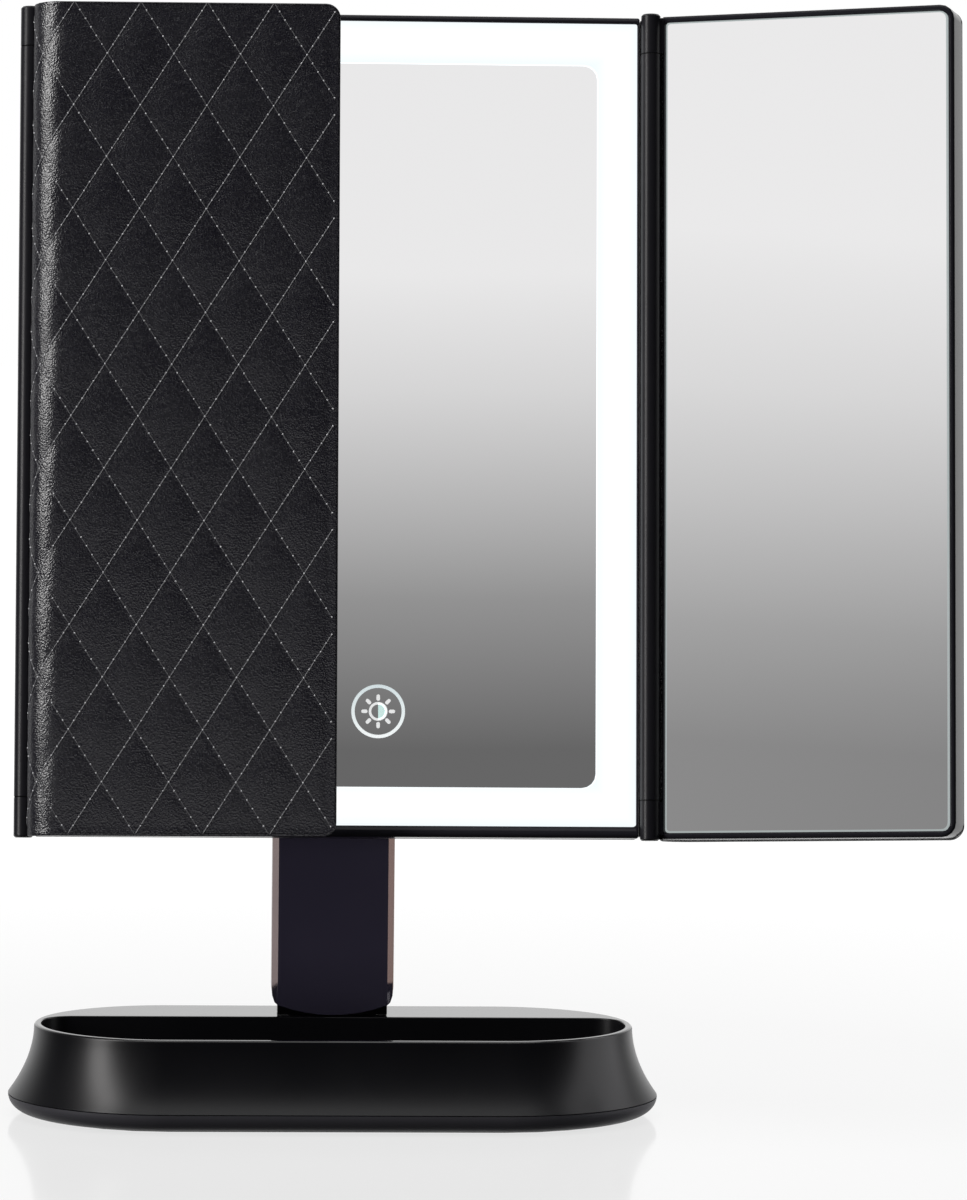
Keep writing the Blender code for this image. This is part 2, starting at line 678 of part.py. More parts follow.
def tilt_axle(pivot):
    head = -EAR_OUTER - CLEARANCE
    end = EAR_OUTER + CLEARANCE + NUT_THICKNESS
    profile = [
        (AXLE_HEAD_RADIUS * 0.8, head - AXLE_HEAD), (AXLE_HEAD_RADIUS, head - AXLE_HEAD * 0.7),
        (AXLE_HEAD_RADIUS, head), (AXLE_RADIUS, head), (AXLE_RADIUS, end),
    ]
    piece("tilt_axle", turned(profile, "X"), steel(), pivot)
    nut_face = EAR_OUTER + CLEARANCE
    nut = skin([
        lifted(circle(NUT_RADIUS, 6), "X", nut_face),
        lifted(circle(NUT_RADIUS, 6), "X", nut_face + NUT_THICKNESS),
    ])
    cut(piece("axle_nut", nut, steel(), pivot), rod(AXLE_BORE, "X", 0.0, 2 * end))
    brass = material("washer_brass", (0.62, 0.45, 0.2), 0.35, 1.0)
    for side, sign in (("left", -1), ("right", 1)):
        inner = sign * (NECK_WIDTH / 2 + CLEARANCE)
        outer = inner + sign * WASHER_THICKNESS
        washer = tube(WASHER_RADIUS, AXLE_BORE, "X", min(inner, outer), max(inner, outer))
        piece(f"friction_washer_{side}", washer, brass, pivot)


# Centre panel. It is modelled about the middle of its front face, with Y into the panel.

def housing_screw_places():
    height = PANEL_HEIGHT - 2 * HOUSING_SCREW_INSET
    places = []
    for row, z in (("lower", -height / 2), ("upper", height / 2)):
        places += [(f"housing_screw_{row}_{side}", x, z) for side, x in mirrored_pairs(HOUSING_SCREW_SPACING)]
    return places


def front_frame(panel):
    rings = []
    for level, share in ((0.0, 1.0), (0.3, 0.3), (1.0, 0.0)):
        width = PANEL_WIDTH - share * FRAME_SIDE_RIM
        height = PANEL_HEIGHT - 2 * share * FRAME_EDGE
        rings.append(lifted(panel_outline(width, height, PANEL_CORNER), "Y", level * FRAME_EDGE))
    rings.append(lifted(panel_outline(PANEL_WIDTH, PANEL_HEIGHT, PANEL_CORNER), "Y", FRAME_DEPTH))
    frame = piece("front_frame", skin(rings), gloss_black(), panel)
    seat = panel_outline(DIFFUSER_WIDTH + 2 * CLEARANCE, DIFFUSER_HEIGHT + 2 * CLEARANCE, PANEL_CORNER)
    opening = panel_outline(OPENING_WIDTH, OPENING_HEIGHT, PANEL_CORNER)
    cut(
        frame,
        shift(slab(seat, "Y", -OVERSHOOT, DIFFUSER_BACK + CLEARANCE), z=BAND_RISE),
        shift(slab(opening, "Y", 0.0, FRAME_DEPTH + OVERSHOOT), z=BAND_RISE),
    )
    for _, x, z in housing_screw_places():
        depth = FRAME_DEPTH - HOUSING_SCREW_BITE - CLEARANCE
        pilot = rod(HOUSING_SCREW_RADIUS + CLEARANCE, "Y", depth, HOUSING_DEPTH, SCREW_STEPS)
        cut(frame, shift(pilot, x, z=z))


def socket_place():
    """Middle of the charging socket across and into the panel."""
    board_front = HOUSING_FLOOR - CLEARANCE - BOARD_THICKNESS
    return BOARD_X, board_front - CLEARANCE - SOCKET_DEPTH / 2


def rear_housing(panel):
    rings = [lifted(panel_outline(PANEL_WIDTH, PANEL_HEIGHT, PANEL_CORNER), "Y", HOUSING_FRONT)]
    for angle in (0, 30, 60, 90):
        inset = HOUSING_ROUND * (1 - cos(radians(angle)))
        level = HOUSING_DEPTH - HOUSING_ROUND * (1 - sin(radians(angle)))
        outline = panel_outline(PANEL_WIDTH - 2 * inset, PANEL_HEIGHT - 2 * inset, PANEL_CORNER)
        rings.append(lifted(outline, "Y", level))
    housing = piece("rear_housing", skin(rings), satin_black(), panel)

    width = PANEL_WIDTH - 2 * HOUSING_WALL
    height = PANEL_HEIGHT - 2 * HOUSING_WALL
    inside = panel_outline(width, height, PANEL_CORNER)
    hollow = tool("housing_hollow", slab(inside, "Y", HOUSING_FRONT - OVERSHOOT, HOUSING_FLOOR), panel)
    boss_low = HOUSING_FLOOR - BRACKET_BOSS_HEIGHT
    for _, x in mirrored_pairs(BRACKET_SCREW_WIDTH):
        for _, z in mirrored_pairs(BRACKET_SCREW_HEIGHT):
            boss = rod(BRACKET_BOSS_RADIUS, "Y", boss_low, HOUSING_DEPTH, SCREW_STEPS)
            cut(hollow, shift(boss, x, z=z - PIVOT_DROP))
    for _, x, z in housing_screw_places():
        cut(hollow, shift(rod(POST_RADIUS, "Y", 0.0, HOUSING_DEPTH), x, z=z))
    cut(housing, hollow)

    for _, x in mirrored_pairs(BRACKET_SCREW_WIDTH):
        for _, z in mirrored_pairs(BRACKET_SCREW_HEIGHT):
            depth = HOUSING_DEPTH - BRACKET_SCREW_BITE - CLEARANCE
            pilot = rod(BRACKET_SCREW_RADIUS + CLEARANCE, "Y", depth, HOUSING_DEPTH + OVERSHOOT, SCREW_STEPS)
            cut(housing, shift(pilot, x, z=z - PIVOT_DROP))
    head_top = HOUSING_DEPTH - HOUSING_ROUND
    head_seat = head_top - HOUSING_SCREW_HEAD - CLEARANCE
    for name, x, z in housing_screw_places():
        hole = turned([
            (HOUSING_SCREW_RADIUS + CLEARANCE, FRAME_DEPTH - OVERSHOOT),
            (HOUSING_SCREW_RADIUS + CLEARANCE, head_seat),
            (HOUSING_SCREW_HEAD_RADIUS + CLEARANCE, head_seat),
            (HOUSING_SCREW_HEAD_RADIUS + CLEARANCE, HOUSING_DEPTH + OVERSHOOT),
        ], "Y", SCREW_STEPS)
        cut(housing, shift(hole, x, z=z))
        bearing = head_seat + CLEARANCE
        length = bearing - FRAME_DEPTH + HOUSING_SCREW_BITE
        fixing = screw(HOUSING_SCREW_HEAD_RADIUS, HOUSING_SCREW_HEAD, HOUSING_SCREW_RADIUS, length, "Y", -1)
        piece(name, shift(fixing, x, bearing, z), steel(), panel)

    x, y = socket_place()
    half_width = SOCKET_WIDTH / 2 + CLEARANCE
    half_depth = SOCKET_DEPTH / 2 + CLEARANCE
    low = -PANEL_HEIGHT / 2
    cut(housing, block(
        (x - half_width, x + half_width),
        (y - half_depth, y + half_depth),
        (low - OVERSHOOT, low + HOUSING_WALL + OVERSHOOT),
    ))


def light_diffuser(panel):
    opal = material("opal_acrylic", (0.95, 0.96, 0.97), 0.3)
    outline = panel_outline(DIFFUSER_WIDTH, DIFFUSER_HEIGHT, PANEL_CORNER)
    plate = shift(slab(outline, "Y", GLASS_RECESS, DIFFUSER_BACK), z=BAND_RISE)
    diffuser = piece("light_diffuser", plate, opal, panel)
    pocket = panel_outline(MIRROR_WIDTH + 2 * CLEARANCE, MIRROR_HEIGHT + 2 * CLEARANCE, MIRROR_CORNER)
    cut(diffuser, slab(pocket, "Y", -OVERSHOOT, MIRROR_BACK + CLEARANCE))
    window = rod(TOUCH_RADIUS + CLEARANCE, "Y", 0.0, DIFFUSER_BACK + OVERSHOOT)
    cut(diffuser, shift(window, TOUCH_X, z=TOUCH_Z))


def centre_mirror(panel):
    outline = panel_outline(MIRROR_WIDTH, MIRROR_HEIGHT, MIRROR_CORNER)
    piece("centre_mirror", slab(outline, "Y", GLASS_RECESS, MIRROR_BACK), silvered_glass(), panel)


def touch_sensor(panel):
    board = material("circuit_green", (0.02, 0.16, 0.07), 0.5)
    face = MIRROR_BACK + CLEARANCE
    pad = rod(TOUCH_RADIUS, "Y", face, face + TOUCH_THICKNESS)
    piece("touch_sensor", shift(pad, TOUCH_X, z=TOUCH_Z), board, panel)


def reflector_plate(panel):
    white = material("reflector_white", (0.9, 0.9, 0.9), 0.6)
    half_width = PANEL_WIDTH / 2 - HOUSING_WALL - CLEARANCE
    half_height = PANEL_HEIGHT / 2 - HOUSING_SCREW_INSET - POST_RADIUS - CLEARANCE
    plate = block(
        (-half_width, half_width),
        (HOUSING_FRONT, HOUSING_FRONT + REFLECTOR_THICKNESS),
        (-half_height, half_height),
    )
    piece("reflector_plate", plate, white, panel)


def strip_outline(length):
    """Edge view of an LED strip: a thin board with square chips along its front."""
    half = length / 2
    count = int((length - CHIP_PITCH / 2) // CHIP_PITCH)
    points = [(-half, STRIP_THICKNESS), (-half, 0.0)]
    for k in range(count):
        middle = (k - (count - 1) / 2) * CHIP_PITCH
        start = middle - CHIP_LENGTH / 2
        end = middle + CHIP_LENGTH / 2
        points += [(start, 0.0), (start, -CHIP_HEIGHT), (end, -CHIP_HEIGHT), (end, 0.0)]
    return points + [(half, 0.0), (half, STRIP_THICKNESS)]


def led_strips(panel):
    white = material("strip_white", (0.86, 0.86, 0.82), 0.5)
    face = HOUSING_FRONT - CLEARANCE - STRIP_THICKNESS
    half = STRIP_WIDTH / 2
    side_x = (OPENING_WIDTH - STRIP_WIDTH) / 2 - CLEARANCE
    end_z = (OPENING_HEIGHT - STRIP_WIDTH) / 2 - CLEARANCE
    long_strip = 2 * (end_z - half - STRIP_END_GAP)
    short_strip = 2 * (side_x - half - STRIP_END_GAP)
    for name, x in (("led_strip_left", -side_x), ("led_strip_right", side_x)):
        upright = [(y, z) for z, y in strip_outline(long_strip)]
        piece(name, shift(slab(upright, "X", -half, half), x, face, BAND_RISE), white, panel)
    for name, z in (("led_strip_lower", -end_z), ("led_strip_upper", end_z)):
        level = slab(strip_outline(short_strip), "Z", -half, half)
        piece(name, shift(level, 0.0, face, z + BAND_RISE), white, panel)


def battery(panel):
    wrap = material("battery_wrap", (0.12, 0.2, 0.45), 0.4)
    half = BATTERY_WIDTH / 2
    low = BATTERY_RISE - BATTERY_HEIGHT / 2
    outline = rounded(-half, half, low, low + BATTERY_HEIGHT, BATTERY_ROUND, BATTERY_ROUND, 2)
    back = HOUSING_FLOOR - CLEARANCE
    piece("battery", slab(outline, "Y", back - BATTERY_THICKNESS, back), wrap, panel)


def control_board(panel):
    green = material("circuit_green", (0.02, 0.16, 0.07), 0.5)
    back = HOUSING_FLOOR - CLEARANCE
    low = BOARD_EDGE_GAP - PANEL_HEIGHT / 2
    half = BOARD_WIDTH / 2
    board = block(
        (BOARD_X - half, BOARD_X + half),
        (back - BOARD_THICKNESS, back),
        (low, low + BOARD_HEIGHT),
    )
    piece("control_board", board, green, panel)


def usb_socket(panel):
    x, y = socket_place()
    low = CLEARANCE - PANEL_HEIGHT / 2
    half_width = SOCKET_WIDTH / 2
    half_depth = SOCKET_DEPTH / 2
    corner = half_depth * 0.9
    outer = rounded(-half_width, half_width, -half_depth, half_depth, corner, corner, 3)
    inner_corner = corner - SOCKET_WALL
    inner_width = half_width - SOCKET_WALL
    inner_depth = half_depth - SOCKET_WALL
    inner = rounded(-inner_width, inner_width, -inner_depth, inner_depth, inner_corner, inner_corner, 3)
    top = low + SOCKET_LENGTH
    socket = piece("usb_socket", shift(slab(outer, "Z", low, top), x, y), steel(), panel)
    hollow = tool("socket_hollow", shift(slab(inner, "Z", low - OVERSHOOT, top - SOCKET_FLOOR), x, y), panel)
    half_tongue = TONGUE_WIDTH / 2
    half_edge = TONGUE_THICKNESS / 2
    cut(hollow, block(
        (x - half_tongue, x + half_tongue),
        (y - half_edge, y + half_edge),
        (low + TONGUE_SHORTER, top),
    ))
    cut(socket, hollow)


# Hinges. A barrel, its bushes and a wing are modelled about the hinge axis.
# Along the panel, sign is +1 on the right and -1 on the left.

def leaf_outline(half):
    """Side view of a hinge leaf, full beside the barrel and standing clear behind the wing's knuckles."""
    near = BARREL_RADIUS + CLEARANCE
    far = HINGE_AHEAD + LEAF_DEPTH
    end = PANEL_HEIGHT / 2 - PANEL_CORNER
    upper = [(far, end), (near, end), (near, half), (0.0, half)]
    return upper + [(y, -z) for y, z in reversed(upper)]


def hinge_barrel(side, sign, hinge):
    half = KNUCKLE_FACE - CLEARANCE / 2
    barrel = piece(f"{side}_hinge_barrel", rod(BARREL_RADIUS, "Z", -half, half, 20), gloss_black(), hinge)
    leaf = sorted((-sign * BARREL_RADIUS, -sign * (BARREL_RADIUS - LEAF_THICKNESS)))
    join(barrel, slab(leaf_outline(half), "X", *leaf))
    depth = half - PIN_REACH - 2 * CLEARANCE
    brass = material("bush_brass", (0.62, 0.45, 0.2), 0.35, 1.0)
    for low, high in ((-half - OVERSHOOT, -depth), (depth, half + OVERSHOOT)):
        cut(barrel, rod(BUSH_BORE, "Z", low, high))
    for end, low in (("lower", -half), ("upper", half - BUSH_LENGTH)):
        bush = tube(BUSH_RADIUS, PIN_BORE, "Z", low, low + BUSH_LENGTH)
        piece(f"{side}_hinge_bush_{end}", bush, brass, hinge)


def wing_profile(sign):
    """Plan view of a wing's body, open past its front, back and free edge, with the round spine."""
    far = WING_REACH + OVERSHOOT
    front = HINGE_AHEAD - OVERSHOOT
    back = HINGE_AHEAD + WING_THICKNESS
    foot = HINGE_AHEAD + SPINE_FOOT
    spine = arc((SPINE_CENTRE[0], HINGE_AHEAD + SPINE_CENTRE[1]), SPINE_RADIUS, 90, 180, SPINE_STEPS)
    points = [(WING_START, front), (far, front), (far, back + OVERSHOOT), (SPINE_CENTRE[0], back + OVERSHOOT)]
    points += spine + [(SPINE_START, foot), (WING_START, foot)]
    return [(sign * x, y) for x, y in points]


def cover_pocket_profile(sign):
    """Plan view of the recess that takes the quilted cover, open past the wing's back."""
    back = HINGE_AHEAD + WING_THICKNESS + OVERSHOOT
    floor = HINGE_AHEAD + COVER_FLOOR
    foot = HINGE_AHEAD + SPINE_FOOT - CLEARANCE
    centre = (SPINE_CENTRE[0], HINGE_AHEAD + SPINE_CENTRE[1])
    bend = arc(centre, SPINE_RADIUS - COVER_THICKNESS, 90, 180, SPINE_STEPS)
    points = [(COVER_END + OVERSHOOT, back), (COVER_END + OVERSHOOT, floor)] + bend
    points += [(SPINE_START + COVER_THICKNESS, foot), (-SPINE_START, foot), (-SPINE_START, back)]
    return [(sign * x, y) for x, y in points]


def wing_outline(sign, start, end, half_height, start_round, end_round):
    """Front view of a wing's rectangle between two distances from the hinge axis."""
    left, right = sorted((sign * start, sign * end))
    rounds = (start_round, end_round) if sign > 0 else (end_round, start_round)
    return rounded(left, right, -half_height, half_height, *rounds)


def wing_frame(side, sign, hinge):
    half = WING_HEIGHT / 2
    body = slab(wing_profile(sign), "Z", -half - OVERSHOOT, half + OVERSHOOT)
    frame = piece(f"{side}_wing_frame", body, gloss_black(), hinge)
    rings = []
    edges = [(0.0, 1.0), (0.3, 0.3), (1.0, 0.0)]
    levels = [(WING_EDGE * depth, WING_EDGE * inset) for depth, inset in edges]
    for depth, inset in reversed(edges):
        levels.append((WING_THICKNESS - WING_BACK_EDGE * depth, WING_BACK_EDGE * inset))
    for depth, inset in levels:
        outline = wing_outline(
            sign, -SPINE_START, WING_REACH - inset, half - inset, WING_EDGE, WING_CORNER - inset)
        rings.append(lifted(outline, "Y", HINGE_AHEAD + depth))
    keep_inside(frame, skin(rings))

    pocket = slab(cover_pocket_profile(sign), "Z", -COVER_HALF - OVERSHOOT, COVER_HALF + OVERSHOOT)
    recess = tool(f"{side}_cover_recess", pocket, hinge)
    corner = WING_CORNER - COVER_RIM
    limit = wing_outline(sign, -2 * SPINE_START, COVER_END, COVER_HALF, WING_EDGE, corner)
    keep_inside(recess, slab(limit, "Y", 0.0, HINGE_AHEAD + WING_THICKNESS + 2 * OVERSHOOT))
    cut(frame, recess)

    glass_start = WING_START + WING_HINGE_RIM
    seat_depth = HINGE_AHEAD + GLASS_RECESS + WING_GLASS + CLEARANCE
    seat = wing_outline(
        sign, glass_start - CLEARANCE, WING_REACH - WING_RIM + CLEARANCE,
        half - WING_RIM + CLEARANCE, WING_EDGE, GLASS_CORNER + CLEARANCE)
    cut(frame, slab(seat, "Y", 0.0, seat_depth))
    hollow_start = SPINE_CENTRE[0] - (SPINE_RADIUS - COVER_THICKNESS) + WING_BACK_WALL + WING_LEDGE
    hollow = wing_outline(
        sign, hollow_start, WING_REACH - WING_RIM - WING_LEDGE,
        half - WING_RIM - WING_LEDGE, WING_EDGE, GLASS_CORNER)
    cut(frame, slab(hollow, "Y", 0.0, HINGE_AHEAD + COVER_FLOOR - WING_BACK_WALL))

    face = KNUCKLE_FACE + CLEARANCE / 2
    tip = BARREL_HEIGHT / 2
    web_top = half - WING_EDGE - CLEARANCE
    web_near = sign * (PIN_BORE + BARREL_RADIUS) / 2
    web_far = sign * (WING_START + WING_HINGE_RIM / 3)
    for up in (-1, 1):
        knuckle = turned([
            (BARREL_RADIUS, up * face),
            (BARREL_RADIUS, up * (tip - BARREL_EDGE)),
            (BARREL_RADIUS - BARREL_EDGE, up * tip),
        ], "Z", 20)
        web = block(
            sorted((web_near, web_far)),
            (CLEARANCE, WEB_DEPTH),
            sorted((up * (face + CLEARANCE), up * web_top)),
        )
        join(frame, knuckle, web)
        bore = rod(PIN_BORE, "Z", *sorted((up * (face - OVERSHOOT), up * (face + PIN_REACH + CLEARANCE))))
        cut(frame, bore)


def wing_mirror(side, sign, hinge):
    start = WING_START + WING_HINGE_RIM
    end = WING_REACH - WING_RIM
    half = WING_HEIGHT / 2 - WING_RIM
    rings = []
    for depth, inset in ((0.0, GLASS_BEVEL), (GLASS_BEVEL * 0.6, 0.0), (WING_GLASS, 0.0)):
        outline = wing_outline(
            sign, start + inset, end - inset, half - inset, WING_EDGE, GLASS_CORNER - inset)
        rings.append(lifted(outline, "Y", HINGE_AHEAD + GLASS_RECESS + depth))
    piece(f"{side}_wing_mirror", skin(rings), silvered_glass(), hinge)


def cover_point(along, depth):
    """Plan point on the cover at a length from its free edge, sunk by a depth below its face."""
    flat = COVER_END - CLEARANCE - SPINE_CENTRE[0]
    bend = pi / 2 * SPINE_RADIUS
    centre_y = HINGE_AHEAD + SPINE_CENTRE[1]
    radius = SPINE_RADIUS - depth
    if along <= flat:
        return COVER_END - CLEARANCE - along, centre_y + radius
    if along <= flat + bend:
        angle = pi / 2 + (along - flat) / SPINE_RADIUS
        return SPINE_CENTRE[0] + radius * cos(angle), centre_y + radius * sin(angle)
    return SPINE_CENTRE[0] - radius, centre_y - (along - flat - bend)


def quilt_height(column, row):
    """Puff of the padding between the sewn lines, which run along both diagonals of the grid."""
    middle = QUILT_DIVISIONS / 2
    rising = 1 - abs((column + row) % QUILT_DIVISIONS - middle) / middle
    falling = 1 - abs((column - row) % QUILT_DIVISIONS - middle) / middle
    return QUILT_PUFF * sin(pi / 2 * rising) * sin(pi / 2 * falling)


def quilt_faces(mesh, face, columns, rows):
    """Triangles whose diagonals lie along the sewn lines."""
    for i in range(columns):
        for j in range(rows):
            corners = [face[i][j], face[i + 1][j], face[i + 1][j + 1], face[i][j + 1]]
            on_rising = (i + j + 1) % QUILT_DIVISIONS == 0
            turn = 1 if on_rising and (i - j) % QUILT_DIVISIONS else 0
            a, b, c, d = corners[turn:] + corners[:turn]
            mesh.faces.new((a, b, c))
            mesh.faces.new((a, c, d))


def wing_cover(side, sign, hinge):
    half = COVER_HALF - CLEARANCE
    length = COVER_END - CLEARANCE - SPINE_CENTRE[0] + pi / 2 * SPINE_RADIUS
    length += SPINE_CENTRE[1] - SPINE_FOOT - CLEARANCE
    step = QUILT_PITCH / QUILT_DIVISIONS
    columns = ceil(length / step)
    rows = QUILT_ROWS * QUILT_DIVISIONS
    mesh = bmesh.new()
    face = []
    back = []
    for i in range(columns + 1):
        along = min(i * step, length)
        column = []
        for j in range(rows + 1):
            x, y = cover_point(along, COVER_SINK - quilt_height(i, j))
            column.append(mesh.verts.new((sign * x, y, half - 2 * half * j / rows)))
        face.append(column)
        x, y = cover_point(along, COVER_THICKNESS - CLEARANCE)
        back.append([mesh.verts.new((sign * x, y, z)) for z in (half, -half)])
    quilt_faces(mesh, face, columns, rows)
    for i in range(columns):
        mesh.faces.new((back[i][0], back[i + 1][0], back[i + 1][1], back[i][1]))
    mesh.faces.new([column[0] for column in face] + [pair[0] for pair in reversed(back)])
    mesh.faces.new([column[-1] for column in face] + [pair[1] for pair in reversed(back)])
    mesh.faces.new(face[0] + [back[0][1], back[0][0]])
    mesh.faces.new(face[-1] + [back[-1][1], back[-1][0]])
    bmesh.ops.recalc_face_normals(mesh, faces=mesh.faces)
    cover = piece(f"{side}_wing_cover", mesh, leatherette(), hinge, 60)
    corner = WING_CORNER - COVER_RIM - CLEARANCE
    limit = wing_outline(sign, -2 * SPINE_START, COVER_END - CLEARANCE, half, WING_EDGE, corner)
    keep_inside(cover, slab(limit, "Y", 0.0, HINGE_AHEAD + WING_THICKNESS + 2 * OVERSHOOT))


def hinge_pins(side, sign, hinge):
    low = KNUCKLE_FACE - PIN_REACH
    high = KNUCKLE_FACE + PIN_REACH
    for end, up in (("lower", -1), ("upper", 1)):
        profile = [
            (PIN_RADIUS * 0.7, up * low), (PIN_RADIUS, up * (low + PIN_RADIUS / 2)),
            (PIN_RADIUS, up * (high - PIN_RADIUS / 2)), (PIN_RADIUS * 0.7, up * high),
        ]
        piece(f"{side}_hinge_pin_{end}", turned(profile, "Z", SCREW_STEPS), steel(), hinge)


def build():
    clear_scene()
    base_shell()
    base_plate()
    base_pad()
    ballast_plate()
    neck_shell("neck_front_shell", True)
    neck_shell("neck_rear_shell", False)
    neck_collar()
    neck_stem()

    pivot = empty("tilt_pivot", (0.0, NECK_Y, PIVOT_HEIGHT), rotation=(-radians(TILT_BACK), 0.0, 0.0))
    tilt_bracket(pivot)
    tilt_axle(pivot)
    panel = empty("panel_centre", (0.0, -PIVOT_Y, PIVOT_DROP), pivot)
    front_frame(panel)
    rear_housing(panel)
    light_diffuser(panel)
    centre_mirror(panel)
    touch_sensor(panel)
    reflector_plate(panel)
    led_strips(panel)
    battery(panel)
    control_board(panel)
    usb_socket(panel)

    for side, sign, fold in (("left", -1, LEFT_FOLD), ("right", 1, RIGHT_FOLD)):
        axis = (sign * HINGE_X, -HINGE_AHEAD, 0.0)
        fixed = empty(f"{side}_hinge", axis, panel)
        hinge_barrel(side, sign, fixed)
        folding = empty(f"{side}_wing", axis, panel, (0.0, 0.0, -sign * radians(fold)))
        wing_frame(side, sign, folding)
        wing_mirror(side, sign, folding)
        wing_cover(side, sign, folding)
        hinge_pins(side, sign, folding)


build()
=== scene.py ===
# Lighted tri-fold vanity mirror: looks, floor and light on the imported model.
# Metres, X to the right, Y away from the user, Z up.
import json
from math import atan2, copysign, cos, exp, hypot, pi, radians, sin, sqrt

import bmesh
import bpy
from mathutils import Matrix, Vector


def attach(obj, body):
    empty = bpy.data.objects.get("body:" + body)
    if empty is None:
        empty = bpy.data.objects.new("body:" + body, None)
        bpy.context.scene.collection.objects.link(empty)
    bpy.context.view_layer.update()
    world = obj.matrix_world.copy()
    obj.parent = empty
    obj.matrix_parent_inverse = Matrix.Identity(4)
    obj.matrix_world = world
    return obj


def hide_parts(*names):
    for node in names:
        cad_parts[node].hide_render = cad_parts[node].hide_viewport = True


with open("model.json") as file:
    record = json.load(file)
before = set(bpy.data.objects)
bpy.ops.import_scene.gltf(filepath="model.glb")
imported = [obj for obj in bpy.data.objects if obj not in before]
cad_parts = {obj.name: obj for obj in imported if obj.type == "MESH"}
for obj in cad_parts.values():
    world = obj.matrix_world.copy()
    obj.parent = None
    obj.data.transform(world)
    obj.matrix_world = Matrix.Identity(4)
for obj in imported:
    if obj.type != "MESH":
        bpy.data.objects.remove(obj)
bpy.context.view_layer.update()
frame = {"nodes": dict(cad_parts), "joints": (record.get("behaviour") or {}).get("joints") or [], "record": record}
nodes = frame["nodes"]
mm = 0.001

# places of the head and the wings, from the joints
joints = {joint["name"]: joint for joint in frame["joints"]}
headUp = Vector(joints["right_wing_fold"]["axis"])
lean = Matrix.Rotation(-atan2(headUp.y, headUp.z), 4, "X")
hingeAhead = 1.0 * mm                      # hinge axis in front of the panel's face
hingeMiddle = (Vector(joints["left_wing_fold"]["pos_m"]) + Vector(joints["right_wing_fold"]["pos_m"])) / 2
headPlace = Matrix.Translation(hingeMiddle) @ lean @ Matrix.Translation((0, hingeAhead, 0))
wingSigns = {"left": -1, "right": 1}
wingPlaces = {}
for side, sign in wingSigns.items():
    joint = joints[f"{side}_wing_fold"]
    fold = Matrix.Rotation(-sign * radians(joint["range_deg"][1]), 4, "Z")
    wingPlaces[side] = Matrix.Translation(joint["pos_m"]) @ lean @ fold
print("frame loaded:", len(nodes), "nodes")


# node trees
def addNode(tree, kind, inputs=None, **settings):
    made = tree.nodes.new(kind)
    for key, value in settings.items():
        setattr(made, key, value)
    for key, value in (inputs or {}).items():
        if isinstance(value, bpy.types.NodeSocket):
            tree.links.new(value, made.inputs[key])
        else:
            made.inputs[key].default_value = value
    return made


def newGroup(name, inputs, outputs):
    group = bpy.data.node_groups.new(name, "ShaderNodeTree")
    for label, kind, value in inputs:
        socket = group.interface.new_socket(label, in_out="INPUT", socket_type=kind)
        if value is not None:
            socket.default_value = value
    for label, kind in outputs:
        group.interface.new_socket(label, in_out="OUTPUT", socket_type=kind)
    start = group.nodes.new("NodeGroupInput").outputs
    end = group.nodes.new("NodeGroupOutput")
    return group, start, end


def sendOut(group, end, **sockets):
    for label, socket in sockets.items():
        group.links.new(socket, end.inputs[label])


def mathNode(tree, operation, first, second=0.0):
    return addNode(tree, "ShaderNodeMath", {0: first, 1: second}, operation=operation).outputs[0]


def spread(tree, value, low, high):
    made = addNode(tree, "ShaderNodeMapRange", {"Value": value, "To Min": low, "To Max": high})
    return made.outputs["Result"]


def mixColour(tree, share, first, second):
    made = addNode(tree, "ShaderNodeMix", {0: share, 6: first, 7: second}, data_type="RGBA")
    return made.outputs[2]


vectorIn, floatIn, colourIn = "NodeSocketVector", "NodeSocketFloat", "NodeSocketColor"


def makeMouldedSkin():
    # fine spark texture of a mould, with broad handling marks in the roughness
    group, start, end = newGroup("mouldedSkin", [
        ("Vector", vectorIn, None), ("Grain", floatIn, 2500.0), ("Colour", colourIn, (0.02, 0.02, 0.02, 1)),
        ("Pale", colourIn, (0.03, 0.03, 0.03, 1)), ("Smooth", floatIn, 0.3), ("Rough", floatIn, 0.4),
    ], [("Color", colourIn), ("Roughness", floatIn), ("Height", floatIn)])
    grain = addNode(group, "ShaderNodeTexNoise", {
        "Vector": start["Vector"], "Scale": start["Grain"], "Detail": 2.0, "Roughness": 0.6})
    marks = addNode(group, "ShaderNodeTexNoise", {
        "Vector": start["Vector"], "Scale": 28.0, "Detail": 4.0, "Distortion": 0.6})
    patch = mathNode(group, "MULTIPLY", marks.outputs["Fac"], marks.outputs["Fac"])
    both = mathNode(group, "ADD", mathNode(group, "MULTIPLY", grain.outputs["Fac"], 0.5), patch)
    sendOut(group, end, Color=mixColour(group, patch, start["Colour"], start["Pale"]),
            Roughness=spread(group, both, start["Smooth"], start["Rough"]), Height=grain.outputs["Fac"])
    return group


